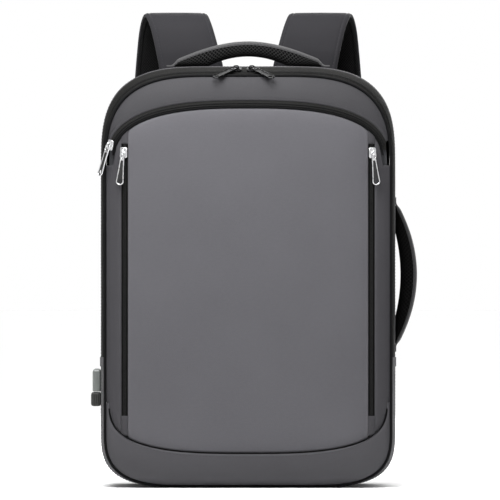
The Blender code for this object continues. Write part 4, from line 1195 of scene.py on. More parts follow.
def build_zip_tabs(side, label):
    """Folded grey tabs over the ends of a side zip."""
    foot = smile_height(SIDE_ZIP_X) + 0.0008
    head = arch_height(SIDE_ZIP_X, -ARCH_TAPE_HALF)
    tab_width = 2.0 * SIDE_ZIP_HALF + 0.0006
    columns = shares_along(tab_width, 0.0012)
    for kind, z_low, z_high, body in (("lower", foot, SIDE_ZIP_FOOT_Z, "pack"),
                                      ("upper", SIDE_ZIP_TOP_Z, head, "lid")):
        length = z_high - z_low
        rows = []
        for r in shares_along(length, 0.0024):
            line = []
            gap_end = min(r, 1.0 - r) * length
            for c in columns:
                x = side * SIDE_ZIP_X + (c - 0.5) * tab_width
                end = arch_height(x, -ARCH_TAPE_HALF + 0.0010) if kind == "upper" else z_high
                z = mix(z_low, end, r)
                gap = min(c, 1.0 - c) * 2.0 * SIDE_ZIP_HALF
                crease = 0.0003 * ripple(x, z, 0.006, 21.0 + side)
                lift = 0.0001 - edge_drop(min(gap, gap_end), 0.0004) * 0.7 + crease
                line.append(on_front(x, z, lift))
            rows.append(line)
        tab = cloth(f"side_zip_{label}_{kind}_tab", rows, 0.0012, GREY_PAINTED_SHADE, FAR_BEHIND)
        settle(tab, body, "coated_fabric")


def build_piping():
    route = np.insert(outline(0.0), 1, FRONT_EDGE_Y - 0.0005, axis=1)
    outward = [from_middle(x, z) for x, _, z in route]
    front = sweep("front_piping_cord", route, outward, circle(PIPING_RADIUS, 12), PIPING_BLACK, closed=True)
    bend_with_lid(front, "webbing", ("front_piping", "front_piping_lower"))
    route = np.insert(outline(1.0, 0.0020), 1, REAR_PIPING_Y, axis=1)
    rear = sweep("rear_piping_cord", route, outward, circle(PIPING_RADIUS + 0.0001, 12), PIPING_BLACK,
                 closed=True)
    settle(rear, "pack", "webbing", ("rear_piping",))


# ---------- gussets ----------

def from_middle(x, z):
    """Direction from the middle of the bag's outline."""
    return Vector((x, 0.0, z - MIDDLE_Z)).normalized()


def build_gussets():
    left_low = mirror_station(CORNER_STATION)
    left_high = mirror_station(SHOULDER_STATION)
    first = left_low - 2 * HALF_STATIONS
    spans = (
        ("top_gusset", SHOULDER_STATION, left_high, GREY_SIDE),
        ("right_gusset", CORNER_STATION, SHOULDER_STATION, GREY_SIDE),
        ("left_gusset", left_high, left_low, GREY_SIDE),
        ("base_gusset", first, CORNER_STATION, GREY_BOOT),
    )
    depth = GUSSET_Y[1] - GUSSET_Y[0] + 0.0016
    shares = shares_along(depth, 0.0052)
    for name, start, end, material in spans:
        rows = []
        edges = []
        for s in shares:
            y = mix(GUSSET_Y[0] - 0.0012, GUSSET_Y[1] + 0.0004, s)
            gap = min(s, 1.0 - s) * depth
            lift = 0.0003 - edge_drop(gap, 0.0005)
            loop = wall_loop(max(y, SHOULDER_REAR_Y), lift)
            loop[:, 1] = y
            line = loop[np.arange(start, end + 1) % len(loop)].copy()
            if name != "base_gusset":
                for k, (x, _, z) in enumerate(line.tolist()):
                    wave = 0.0007 * clamp(gap / 0.02) * ripple(y, z + x, 0.045, 13.0)
                    line[k] += np.array(from_middle(x, z)) * wave
            rows.append(line)
            edges.append([clamp(1.0 - gap / 0.004)] * len(line))
        panel = cloth(f"{name}_cloth", rows, 0.0020, material, BODY_CENTRE, edge=np.array(edges))
        note_surface(panel)
        settle(panel, "pack", "gusset_fabric", (name,))


# ---------- stitching ----------

class Stitches:
    """Rows of small thread stitches, collected into one piece."""

    def __init__(self):
        self.shape = Shape()

    def row(self, points, normals):
        line = as_rows(points)
        ups = as_rows(normals)
        lengths = distances(line)
        count = int(lengths[-1] / STITCH_PITCH)
        for i in range(count):
            middle = (i + 0.5) * lengths[-1] / count
            start, end = (points_at(middle + s * STITCH_LENGTH, lengths, line) for s in (-0.5, 0.5))
            self.stitch(start, end, unit_rows(points_at(middle, lengths, ups), 1e-9))

    def stitch(self, start, end, up):
        run = end - start
        side = np.cross(unit_rows(run, 1e-9), up)
        rings = []
        for share, size, rise in ((0.0, 0.35, -0.9), (0.16, 0.9, 0.1), (0.5, 1.0, 0.45), (0.84, 0.9, 0.1),
                                  (1.0, 0.35, -0.9)):
            middle = start + run * share + up * THREAD_RADIUS * rise
            ring = [middle + side * a + up * h for a, h in circle(THREAD_RADIUS * size, 6)]
            rings.append(ring + ring[:1])
        self.shape.grid(rings)

    def finish(self, name, material):
        return self.shape.piece(name, material, 80.0)


def loop_row(y, lift, first, last):
    """Points and normals of a line round the body's walls."""
    line = stretch(wall_loop(y, lift), first, last)
    out = stretch(wall_loop(y, lift + 0.01), first, last) - line
    return line, out


def stitch_body():
    thread = Stitches()
    for y in (GUSSET_Y[0] + 0.0030, GUSSET_Y[1] - 0.0030):
        thread.row(*loop_row(y, 0.0001, 0, 2 * HALF_STATIONS - 1))
    thread.row(*loop_row(SHOULDER_REAR_Y - 0.0022, 0.0003, mirror_station(FOLD_STATION), FOLD_STATION))
    seam = smile_line(200, SMILE_HALF_WIDTH - 0.004, SMILE_BASE_Z - 0.0030)
    thread.row(*along_front(seam[4:-4], 0.0011))
    settle(thread.finish("body_topstitch", THREAD_GREY), "pack", "webbing")
    thread = Stitches()
    thread.row(*along_front(arch_line(ARCH_TAPE_HALF + 0.0028, 0.3600, 300), 0.0001))
    settle(thread.finish("lid_topstitch", THREAD_GREY), "lid", "webbing")


# ---------- sliders and pullers ----------

def face_frame(origin, travel, normal):
    """Local x along the zip, y across it, z out of the cloth."""
    normal = normal.normalized()
    travel = (travel - normal * travel.dot(normal)).normalized()
    across = normal.cross(travel)
    turn = Matrix((travel, across, normal)).transposed().to_4x4()
    return Matrix.Translation(origin) @ turn


def mirrored(line):
    """A closed outline from its upper half, listed from front to tail."""
    return [(x, y) for x, y in line] + [(x, -y) for x, y in reversed(line)]


def build_slider(name, place, metal):
    """Shield-shaped body with folded flanges, a raised rib and an arched bridge."""
    base = SLIDER_FLOAT
    shield = mirrored([(-0.0055, 0.0026), (-0.0050, 0.0033), (-0.0030, 0.0036), (0.0000, 0.0036),
                       (0.0020, 0.0039), (0.0040, 0.0040), (0.0052, 0.0034), (0.0055, 0.0020)])
    parts = [curve_plate(name + "_top", [shield], 0.0011, 0.0004, metal, place, base + 0.0014)]
    flange = mirrored([(-0.0048, 0.0037), (0.0010, 0.0038), (0.0046, 0.0037)])
    parts.append(curve_plate(name + "_low", [flange], 0.0012, 0.0003, metal, place, base + 0.0006))
    rib = mirrored([(-0.0042, 0.0009), (-0.0030, 0.0013), (0.0030, 0.0013), (0.0042, 0.0009)])
    parts.append(curve_plate(name + "_rib", [rib], 0.0008, 0.0003, metal, place, base + 0.0019))
    path = []
    ups = []
    top = base + WING_HEIGHT
    for i in range(17):
        angle = math.pi * i / 16
        x = -0.0029 * signed_power(math.cos(angle), 0.7)
        z = top - 0.0005 + (BRIDGE_RISE - 0.0001) * math.sin(angle) ** 0.7
        path.append(place @ Vector((x, 0.0, z)))
        ups.append(place.to_3x3() @ Vector((0.0, 1.0, 0.0)))
    parts.append(sweep(name + "_bridge", path, ups, rounded_bar(0.00055, 0.0009, 12, 3.0), metal))
    return merge(name, parts)


# Half-widths along a puller, the radius of its round end, the half-width of its eye, and its thickness
PULLER = (((-0.0007, 0.0021), (0.0064, 0.0022), (0.0168, 0.0029), (0.0275, 0.0039)), 0.0042, 0.0014, 0.0014)
MAIN_PULLER = (((-0.0007, 0.0041), (0.0064, 0.0041), (0.0107, 0.0036), (0.0268, 0.0038)),
               0.0041, 0.0034, 0.0014)
ARCH_PULLER = (((-0.0007, 0.0035), (0.0064, 0.0035), (0.0168, 0.0033), (0.0275, 0.0039)),
               0.0042, 0.0028, 0.0014)
PULL_RIM = 0.0011
PULL_HOLE_RADIUS = 0.0021
PULL_WINDOW_START = 0.0080


def width_along(widths, x):
    return float(np.interp(x, [w[0] for w in widths], [w[1] for w in widths]))


def pull_outline(widths, radius, inset):
    """Outline of the pull, or of its window when inset by the rim."""
    end = PULLER_LENGTH - radius
    start = PULL_WINDOW_START if inset else widths[0][0]
    right = [(x, width_along(widths, x) - inset) for x in np.linspace(start, widths[-1][0], 9)]
    for i in range(9):
        angle = 0.5 * math.pi * (i + 1) / 9
        right.append((end + (radius - inset) * math.sin(angle), (radius - inset) * math.cos(angle)))
    left = [(x, -y) for x, y in reversed(right[:-1])]
    return right + left


def build_puller(name, place, metal, kind):
    """Keyhole pull: a rim with a filled window and a round hole by its end."""
    widths, radius, eye_half, thick = kind
    corners = ((0.0, 0.75), (0.12, 1.0), (0.88, 1.0), (1.0, 0.75))
    eye = [(0.0008 + 0.0048 * a, eye_half * b) for a, b in corners]
    eye += [(x, -y) for x, y in reversed(eye)]
    lines = [pull_outline(widths, radius, 0.0), eye, pull_outline(widths, radius, PULL_RIM)]
    rim = curve_plate(name + "_rim", lines, thick, 0.00045, metal, place)
    hole = moved(circle(PULL_HOLE_RADIUS, 20), PULLER_LENGTH - 0.0047)
    fill = curve_plate(name + "_fill", [pull_outline(widths, radius, PULL_RIM - 0.0002), hole], 0.0007, 0.0001,
                       ENAMEL, place, -0.0001)
    return merge(name, [rim, fill])


def main_zip_frame(x, direction):
    share = shoulder_share(CHAIN_Y)
    z = mix(FRONT_HIGH, HEIGHT, share)
    rise = (HEIGHT - FRONT_HIGH) / (SHOULDER_REAR_Y - FRONT_EDGE_Y)
    return face_frame(Vector((x, CHAIN_Y, z)), Vector(direction), Vector((0.0, -rise, 1.0)))


def arch_slider_frame():
    x = -arch_reach(ARCH_SLIDER_Z, -0.0012)
    lean = Vector(ARCH_SLIDER_LEAN).normalized()
    origin = on_front(x, ARCH_SLIDER_Z) + lean * ARCH_SLIDER_LIFT
    return face_frame(origin, Vector(ARCH_SLIDER_TRAVEL), lean)


def hinge_frame(slide, yaw, pitch=0.0):
    """Frame of a puller on its slider, turned aside by yaw and down by pitch."""
    lift = Matrix.Translation((0.0, 0.0, SLIDER_FLOAT + WING_HEIGHT + PULLER_LIFT))
    return slide @ lift @ Matrix.Rotation(yaw, 4, "Z") @ Matrix.Rotation(pitch, 4, "Y")


def build_zip_pulls():
    for (side, label), x, yaw in zip(SIDES[::-1], MAIN_SLIDER_X, MAIN_PULL_YAW):
        slide = main_zip_frame(x, (side, 0.0, 0.0))
        pull = hinge_frame(slide, -side * yaw, MAIN_PULL_PITCH)
        place_zip_pull(f"main_{label}", slide, pull, GUNMETAL, MAIN_PULLER)
    arch = arch_slider_frame()
    origin = arch @ Vector((0.0, 0.0, SLIDER_FLOAT + WING_HEIGHT + PULLER_LIFT + ARCH_PULL_RISE))
    pull = face_frame(origin, Vector(ARCH_PULL_TRAVEL), Vector(ARCH_PULL_NORMAL))
    place_zip_pull("arch", arch, pull, NICKEL, ARCH_PULLER)
    for side, label in SIDES:
        x = side * SIDE_ZIP_X
        place = face_frame(on_front(x, SIDE_SLIDER_Z), Vector((0, 0, -1)), front_normal(x, SIDE_SLIDER_Z))
        place_zip_pull(f"side_{label}", place, hinge_frame(place, side * SIDE_PULL_YAW), NICKEL, PULLER)


def place_zip_pull(label, slide, pull, metal, kind):
    slider = build_slider(f"{label}_zip_slider", slide, metal)
    settle(slider, f"{label}_slider", "zip_metal", (f"{label}_slider",))
    puller = build_puller(f"{label}_zip_puller", pull, metal, kind)
    settle(puller, f"{label}_puller", "zip_metal", (f"{label}_puller",))


# ---------- handles ----------

HANDLE_FOOT = 0.0004
HANDLE_END_WIDTH = 0.72
HANDLE_WRAP = 0.0040
HANDLE_CLOTH = 0.0014
HANDLE_TAIL = 1.06


def handle_heights(share, shape):
    """Outer and inner height off the wall; past the ends the strip lies flat on the wall."""
    _, rise, clear, _, power, sharpness, grip_share, end = shape
    inside = min(share, 1.0)
    outer = end + (rise - end) * max(1.0 - inside ** power, 0.0) ** sharpness
    inner = max(clear * (1.0 - (inside / grip_share) ** 2), HANDLE_FOOT)
    flat = smooth((share - 0.90) / 0.11)
    return mix(outer, 0.0020, flat), mix(inner, -0.0002, flat)


def arched(half_width, base, rise, power, steps):
    """Half a superellipse standing on a base height, from left to right."""
    points = []
    for i in range(steps + 1):
        angle = math.pi * (1.0 - i / steps)
        points.append((half_width * signed_power(math.cos(angle), 2.0 / power),
                       base + rise * abs(math.sin(angle)) ** (2.0 / power)))
    return points


def build_handle(label, shape, place, mesh):
    half_length, _, _, half_width = shape[:4]
    cover_rings = []
    pad_rings = []
    threads = ([], [])
    steps = 12
    for i in range(97):
        share = HANDLE_TAIL * math.sin(0.5 * math.pi * (2.0 * i / 96 - 1.0))
        outer, inner = handle_heights(abs(share), shape)
        width = half_width * mix(1.0, HANDLE_END_WIDTH, min(abs(share), 1.0) ** 3)
        along = share * half_length
        wrap = min(HANDLE_WRAP, 0.62 * (outer - inner))
        skin = min(HANDLE_CLOTH, 0.45 * (outer - inner))
        low = outer - wrap
        ring = arched(width, low, wrap, 3.2, steps) + arched(width - skin, low, wrap - skin, 3.2, steps)[::-1]
        cover_rings.append([place @ Vector((along, a, h)) for a, h in ring + ring[:1]])
        high = low + 0.0005
        depth = high - inner
        if abs(share) < 0.955 and depth > 0.0006:
            top = outer - skin - 0.0002
            ring = arched(width - 0.0003, high, -depth, 2.6, 2 * steps)[::-1]
            ring += [(-(width - skin), high + 0.0002), (-0.6 * width, top - 0.0006), (0.0, top),
                     (0.6 * width, top - 0.0006), (width - skin, high + 0.0002)]
            pad_rings.append([place @ Vector((along, a, h)) for a, h in ring + ring[:1]])
        if abs(share) < 0.97:
            for side, points in zip((-1.0, 1.0), threads):
                points.append(place @ Vector((along, side * (width + 0.00005), low + 0.0012)))
    cover = ring_piece(f"{label}_skin", np.array(cover_rings), GREY_HANDLE_PAINTED_SHADE)
    pad = ring_piece(f"{label}_grip", np.array(pad_rings), mesh)
    thread = Stitches()
    for side, points in zip((-1.0, 1.0), threads):
        thread.row(points, [place.to_3x3() @ Vector((0.0, side, 0.0))] * len(points))
    stitching = thread.finish(f"{label}_topstitch", THREAD_GREY)
    pieces = ((cover, "coated_fabric", (f"{label}_cover",)), (pad, "air_mesh", (f"{label}_pad",)),
              (stitching, "webbing", ()))
    for piece, slot, nodes in pieces:
        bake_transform(piece)
        label_piece(piece, slot, nodes)


def build_handles():
    top = Matrix.Translation((0.0, TOP_HANDLE_Y, HEIGHT))
    build_handle("top_handle", TOP_HANDLE, top,
                 MESH_GRIP)
    along = Vector((0.0, 0.0, -1.0))
    out = Vector((1.0, 0.0, 0.0))
    turn = Matrix((along, out.cross(along), out)).transposed().to_4x4()
    side = Matrix.Translation((HALF_WIDTH, SIDE_HANDLE_Y, SIDE_HANDLE_Z)) @ turn
    build_handle("side_handle", SIDE_HANDLE, side,
                 MESH_SIDE)


# ---------- shoulder straps ----------

STRAP_COVER = 0.0030
STRAP_LINING = 0.0065
STRAP_ROLL = 0.0030
STRAP_GROOVE = 0.0042


def smooth_route(points, steps):
    """Catmull-Rom line through control points."""
    line = [Vector(p) for p in points]
    line = [2 * line[0] - line[1]] + line + [2 * line[-1] - line[-2]]
    result = []
    for i in range(1, len(line) - 2):
        a, b, c, d = line[i - 1:i + 3]
        for k in range(steps):
            t = k / steps
            result.append(
                0.5 * (2 * b + (c - a) * t + (2 * a - 5 * b + 4 * c - d) * t ** 2
                       + (3 * b - a - 3 * c + d) * t ** 3)
            )
    result.append(line[-2])
    return result


def strap_stations(side):
    """Middle, inward direction, half width and thickness share along the strap."""
    route = smooth_route(STRAP_ROUTE, 9)
    route.insert(0, route[0] - Vector((0.0015, 0.0006, 0.0100, 0.0)))
    ends = (0.0, 0.0004, 0.0016, 0.0040)
    stations = []
    for i, point in enumerate(route):
        before = route[max(i - 1, 0)]
        after = route[min(i + 1, len(route) - 1)]
        run = Vector((0.0, after.y - before.y, after.z - before.z)).normalized()
        inward = Vector((0.0, run.z, -run.y))
        stations.append((Vector((side * point.x, point.y, point.z)), inward, 0.5 * point.w, 1.0, run))
    result = []
    last = stations[-1]
    for gap in ends:
        middle = last[0] + last[4] * (ends[-1] - gap)
        bulge = math.sqrt(max(1.0 - (1.0 - gap / ends[-1]) ** 2, 0.0))
        half = last[2] - 0.003 * (1.0 - bulge)
        result.append((middle - last[4] * ends[-1], last[1], half, mix(0.25, 1.0, bulge)))
    return [s[:4] for s in stations[:-1]] + result[::-1]


def strap_marks(half):
    """Places across the strap, closer together by its edges and channels."""
    gaps = (0.0, 0.0003, 0.0009, 0.0018, 0.0029, 0.0036, 0.0042, 0.0048, 0.0056, 0.0075, 0.0110)
    left = [-half + g for g in gaps]
    inner = [mix(-half + 0.0110, half - 0.0110, k / 9) for k in range(1, 9)]
    return left + inner + [-a for a in reversed(left)]


def strap_surface(across, half, outer, split):
    """Depth of the rolled and crowned face of one layer, from its middle to its edge."""
    gap = half - abs(across)
    roll = clamp(1.0 - gap / STRAP_ROLL)
    share = 1.0 - math.sqrt(max(1.0 - roll * roll, 0.0))
    channel = math.exp(-((gap - STRAP_GROOVE) / 0.0009) ** 2)
    crown = (abs(across) / half) ** 2
    return mix(outer, split, clamp(0.16 * crown + 0.16 * channel + 0.84 * share))


def strap_rings(side, outer, split, tuck):
    """Closed sections of one layer between its face and the seam."""
    rings = []
    for middle, inward, half, full in strap_stations(side):
        width = half - tuck
        face = [(a, strap_surface(a, width, split + (outer - split) * full, split)) for a in strap_marks(width)]
        back = [(a, split) for a in strap_marks(width * 0.985)[::-3]]
        ring = face + back
        rings.append([tuple(middle + Vector((a, 0.0, 0.0)) + inward * d) for a, d in ring + ring[:1]])
    return np.array(rings)


def build_strap(side, label):
    half = 0.5 * (STRAP_COVER + STRAP_LINING)
    split = STRAP_COVER - half
    body = f"strap_{label}"
    cover = ring_piece(f"{body}_skin", strap_rings(side, -half, split, 0.0), GREY_STRAP_PAINTED_SHADE, 50.0)
    lining = ring_piece(f"{body}_air_mesh", strap_rings(side, half, split + 0.0001, 0.0012), MESH_BLACK, 50.0)
    stations = strap_stations(side)
    pieces = [(cover, "coated_fabric", (f"{body}_cover",)), (lining, "air_mesh", (f"{body}_lining",))]
    bindings = []
    thread = Stitches()
    for edge in (-1.0, 1.0):
        path = [m + Vector((edge * (h - 0.0008), 0.0, 0.0)) + n * split for m, n, h, _ in stations[:-3]]
        ups = [n for _, n, _, _ in stations[:-3]]
        bindings.append(sweep(f"{body}_edge", path, ups, rounded_bar(0.0013, 0.0018, 12, 2.4), GREY_STRAP_PAINTED_SHADE))
        seam = []
        for m, n, h, _ in stations[:-4]:
            depth = strap_surface(h - STRAP_GROOVE, h, -half, split)
            seam.append(m + Vector((edge * (h - STRAP_GROOVE), 0.0, 0.0)) + n * (depth + 0.0001))
        thread.row(seam, [-n for _, n, _, _ in stations[:-4]])
    pieces.append((merge(f"{body}_binding", bindings), "webbing", ()))
    pieces.append((thread.finish(f"{body}_topstitch", THREAD_GREY), "webbing", ()))
    for piece, slot, nodes in pieces:
        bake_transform(piece)
        label_piece(piece, slot, nodes)
    build_ladder_lock(side, label)
    build_webbing(side, label)
    build_yoke(side, label)
    build_tab(side, label)


def rounded_rectangle(length, width, radius, steps=6):
    points = []
    for x, y, turn in ((1, 1, 0.0), (-1, 1, 0.5), (-1, -1, 1.0), (1, -1, 1.5)):
        for k in range(steps + 1):
            angle = math.pi * (turn + 0.5 * k / steps)
            points.append((x * (0.5 * length - radius) + radius * math.cos(angle),
                           y * (0.5 * width - radius) + radius * math.sin(angle)))
    return points


def moved(line, x, y=0.0):
    return [(a + x, b + y) for a, b in line]


def lock_frame(side):
    centre = Vector((side * LOCK_CENTRE[0], *LOCK_CENTRE[1:]))
    return face_frame(centre, Vector((0.0, -LOCK_LEAN, -1.0)), Vector((0.0, 1.0, -LOCK_LEAN)))


def build_ladder_lock(side, label):
    """Ladder lock: a frame with two slots, a ribbed middle bar and a lip to tilt it by."""
    place = lock_frame(side)
    slot = rounded_rectangle(0.0070, 0.0275, 0.0012, 3)
    frame_plate = curve_plate("lock_plate", [rounded_rectangle(0.026, 0.034, 0.0034),
                                             moved(slot, -0.0062), moved(slot, 0.0062)],
                              0.0034, 0.0010, PLASTIC_BLACK, place)
    lip = curve_plate("lock_lip", [rounded_rectangle(0.0040, 0.0240, 0.0012, 3)], 0.0030, 0.0009, PLASTIC_BLACK,
                      place @ Matrix.Translation((0.0116, 0.0, 0.0009)))
    parts = [frame_plate, lip]
    for k in range(5):
        rib = rounded_rectangle(0.0008, 0.0240, 0.0003, 2)
        line = moved(rib, 0.0020 * (k - 2) * 0.5)
        parts.append(curve_plate("lock_rib", [line], 0.0040, 0.0002, PLASTIC_BLACK, place))
    lock = merge(f"ladder_lock_{label}_body", parts)
    settle(lock, f"strap_{label}", "plastic_board", (f"ladder_lock_{label}",))
    loop = []
    ups = []
    for i in range(15):
        angle = math.pi * (i / 14 - 0.5)
        loop.append(place @ Vector((-0.0092 + 0.0030 * math.cos(angle), 0.0, 0.0030 * math.sin(angle))))
        ups.append(place.to_3x3() @ Vector((math.cos(angle), 0.0, math.sin(angle))))
    for sign in (-1.0, 1.0):
        end = place @ Vector((-0.0200, 0.0, sign * 0.0014))
        place_at = 0 if sign < 0.0 else len(loop)
        loop.insert(place_at, end)
        ups.insert(place_at, place.to_3x3() @ Vector((0.0, 0.0, sign)))
    keeper = sweep(f"ladder_loop_{label}", loop, ups, rounded_bar(0.0125, 0.0007, 14, 6.0), WEB_BLACK)
    settle(keeper, f"strap_{label}", "webbing")


WEBBING_THICK = 0.0014


def build_webbing(side, label):
    """Webbing from round the lock's middle bar to the tab at the bottom corner."""
    place = lock_frame(side)
    start = Vector((side * WEBBING_TOP[0], *WEBBING_TOP[1:]))
    end = Vector((side * WEBBING_FOOT[0], *WEBBING_FOOT[1:]))
    path = [place @ Vector((x, 0.0, z)) for x, z in ((0.0075, 0.0026), (0.0020, 0.0032), (-0.0020, 0.0030),
                                                      (-0.0046, 0.0002), (-0.0030, -0.0030), (0.0030, -0.0034),
                                                      (0.0090, -0.0030))]
    steps = 26
    for i in range(steps + 1):
        share = i / steps
        point = start.lerp(end, share)
        point.z -= 0.006 * math.sin(math.pi * share)
        path.append(point)
    path = resample(path, 90)
    ups = np.cross(np.gradient(path, axis=0), (1.0, 0.0, 0.0))
    section = rounded_bar(0.5 * WEBBING_WIDTH, 0.5 * WEBBING_THICK, 20, 6.0)
    strip = sweep(f"strap_webbing_{label}_weave", path, ups, section, WEB_BLACK)
    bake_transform(strip)
    label_piece(strip, "webbing", (f"strap_webbing_{label}",))


def cushion(name, line, y_near, y_far, material, rings=10, crown=0.35, dent=None):
    """A sewn plate: a closed outline in (x, z) between two depths, crowned towards its middle."""
    line = np.array(line, float)
    middle = line.mean(axis=0)
    thick = y_far - y_near
    scales = [1.0 - i / rings for i in range(rings + 1)]
    size = np.abs(line - middle).max()
    roll = min(0.4 * thick / size, 0.3)
    levels = [(1.0 - roll * 0.3, 0.03), (1.0, 0.3), (1.0, 0.5), (1.0 - roll * 0.3, 0.62)]
    levels += [((1.0 - roll) * scale, 1.0 - crown * scale ** 2) for scale in scales]
    grid = []
    for scale, rise in levels:
        ring = []
        for x, z in line:
            px, pz = middle[0] + (x - middle[0]) * scale, middle[1] + (z - middle[1]) * scale
            y = y_near + thick * rise
            if dent and rise > 0.6:
                y -= dent(px, pz)
            ring.append((px, y, pz))
        grid.append(ring + ring[:1])
    grid = np.array(grid)
    shape = Shape()
    shape.grid(grid, grid[:, :, [0, 2]])
    shape.fan(grid[0][:-1])
    return shape.piece(name, material, 60.0)


def plate_outline(x_low, x_high, z_low, z_high, radius, steps=6):
    line = rounded_rectangle(x_high - x_low, z_high - z_low, radius, steps)
    line = moved(line, 0.5 * (x_low + x_high), 0.5 * (z_low + z_high))
    return resample(line + line[:1], 96)[:-1]


YOKE_X = 0.060


def build_yoke(side, label):
    """Quilted patch that holds the top of the strap, with its boxed cross of stitching."""
    middle = side * YOKE_X
    line = plate_outline(middle - 0.0325, middle + 0.0325, 0.3964, 0.4298, 0.0045)

    def dent(x, z):
        return 0.0010 * math.exp(-((abs(z - 0.4130) - 0.0125) / 0.0012) ** 2)

    patch = cushion(f"strap_yoke_{label}_patch", line, 0.0631, 0.0688, GREY_STRAP_PAINTED_SHADE, crown=0.30, dent=dent)
    settle(patch, "pack", "coated_fabric", (f"strap_yoke_{label}",))
    note_surface(patch)
    thread = Stitches()
    a, b, c, d = [(middle + x, z) for x, z in ((-0.0275, 0.4010), (0.0275, 0.4010), (0.0275, 0.4250),
                                               (-0.0275, 0.4250))]
    for start, end in ((a, b), (b, c), (c, d), (d, a), (a, c), (d, b)):
        lay_stitches(thread, start, end)
    settle(thread.finish(f"strap_yoke_{label}_stitches", THREAD_BLACK), "pack", "webbing")


def lay_stitches(thread, a, b):
    """A row of stitches pressed on the back, between two (x, z) points."""
    points = []
    normals = []
    count = 12
    for i in range(count + 1):
        x, z = mix(a[0], b[0], i / count), mix(a[1], b[1], i / count)
        hit = touch(Vector((x, 0.15, z)), Vector((0.0, -1.0, 0.0)), 0.2)
        if hit:
            points.append(hit[0] + Vector((0.0, 0.00005, 0.0)))
            normals.append(Vector((0.0, 1.0, 0.0)))
    if len(points) > 1:
        thread.row(points, normals)


TAB_OUTLINE = ((0.107, 0.054), (0.136, 0.088), (0.138, 0.036), (0.132, 0.024))


def build_tab(side, label):
    """Triangle of folded webbing at the bottom corner."""
    corners = [(side * x, z) for x, z in TAB_OUTLINE]
    line = resample(corners + corners[:1], 60)[:-1]
    tab = cushion(f"strap_tab_{label}_patch", line, 0.0630, 0.0650, WEB_BLACK, rings=4, crown=0.15)
    settle(tab, "pack", "webbing", (f"strap_tab_{label}",))
    note_surface(tab)
    thread = Stitches()
    middle = np.mean(corners, axis=0)
    inner = [tuple(middle + (np.array(p) - middle) * 0.80) for p in corners]
    for a, b in zip(inner, inner[1:] + inner[:1]):
        lay_stitches(thread, a, b)
    settle(thread.finish(f"strap_tab_{label}_stitches", THREAD_GREY), "pack", "webbing")


# ---------- back ----------

def build_back_panel():
    loop = outline(1.0, 0.0042)
    middle = np.array([0.0, MIDDLE_Z])
    grid = []
    for scale, y in [(0.985, 0.0592), (0.998, 0.0596), (1.0, 0.0606), (0.997, 0.0617), (0.985, 0.0625)] + [
            (0.97 - 0.97 * i / 16, 0.0627) for i in range(17)]:
        ring = []
        for x, z in loop:
            px, pz = middle + (np.array([x, z]) - middle) * scale
            wave = 0.0003 * ripple(px, pz, 0.05, 31.0) if scale < 0.97 else 0.0
            ring.append((px, y + wave, pz))
        grid.append(ring + ring[:1])
    grid = np.array(grid)
    shape = Shape()
    shape.grid(grid, grid[:, :, [0, 2]])
    shape.fan(grid[0][:-1])
    panel = shape.piece("back_panel_cloth", MESH_FINE, 60.0)
    settle(panel, "pack", "air_mesh", ("back_panel",))
    note_surface(panel)
    thread = Stitches()
    line = outline(1.0, 0.0095)
    points = [(x, 0.0629, z) for x, z in np.concatenate([line, line[:1]])]
    thread.row(points, [(0.0, 1.0, 0.0)] * len(points))
    settle(thread.finish("back_topstitch", THREAD_GREY), "pack", "webbing")


PAD_SHRINK = 0.965
PAD_SWELL = 0.006
PAD_BACK_Y = 0.0629
PAD_FACE_Y = 0.0735


def inflate(node, dent):
    """A pad swollen by cloth simulation from its CAD block, pressed flat on its back, then quilted."""
    source = NODES[node]
    mesh = source.data.copy()
    obj = add_object(f"{node}_cushion", mesh)
    mesh.materials.clear()
    low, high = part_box(node)
    middle = Vector(((low[0] + high[0]) / 2, low[1], (low[2] + high[2]) / 2))
    for vert in mesh.vertices:
        co = source.matrix_world @ vert.co
        co.x = middle.x + (co.x - middle.x) * PAD_SHRINK
        co.z = middle.z + (co.z - middle.z) * PAD_SHRINK
        vert.co = co
    remesh = obj.modifiers.new("voxels", "REMESH")
    remesh.mode = "VOXEL"
    remesh.voxel_size = 0.004
    apply_modifiers(obj)
    start = np.array([v.co[:] for v in obj.data.vertices])
    soft = obj.modifiers.new("swell", "CLOTH")
    soft.settings.quality = 4
    soft.settings.mass = 0.3
    soft.settings.tension_stiffness = 18.0
    soft.settings.compression_stiffness = 18.0
    soft.settings.shear_stiffness = 8.0
    soft.settings.use_pressure = True
    soft.settings.uniform_pressure_force = 4.0
    soft.settings.effector_weights.gravity = 0.0
    scene = bpy.context.scene
    for step in range(1, 21):
        scene.frame_set(step)
    apply_modifiers(obj)
    scene.frame_set(1)
    end = np.array([v.co[:] for v in obj.data.vertices])
    move = end - start
    size = np.linalg.norm(move, axis=1, keepdims=True)
    end = start + move * np.minimum(1.0, PAD_SWELL / np.maximum(size, 1e-9))
    end[:, 1] = np.clip(end[:, 1], PAD_BACK_Y, PAD_FACE_Y)
    for vert, co in zip(obj.data.vertices, end):
        vert.co = co
    finer = obj.modifiers.new("finer", "SUBSURF")
    finer.levels = 1
    apply_modifiers(obj)
    mesh = obj.data
    layer = mesh.uv_layers.new(name="weave")
    edge = mesh.attributes.new("edge", "FLOAT", "POINT")
    edge.data.foreach_set("value", np.zeros(len(mesh.vertices)))
    half = ((high[0] - low[0]) / 2, (high[2] - low[2]) / 2)
    for vert in mesh.vertices:
        co = vert.co
        if co.y > 0.0650:
            inward = min(half[0] - abs(co.x - middle.x), half[1] - abs(co.z - middle.z))
            crown = 0.0008 * smooth(inward / 0.02)
            co.y = min(co.y + crown, 0.0738) - dent(co.x - middle.x, co.z - middle.z)
    for poly in mesh.polygons:
        for index in poly.loop_indices:
            co = mesh.vertices[mesh.loops[index].vertex_index].co
            layer.data[index].uv = (co.x, co.z + 0.5 * co.y)
    mesh.materials.append(MESH_BACK)
    mesh.shade_smooth()
    settle(obj, "pack", "air_mesh", (node,))
    note_surface(obj)


def apply_modifiers(obj):
    mesh = evaluated_mesh(obj)
    obj.modifiers.clear()
    obj.data = mesh


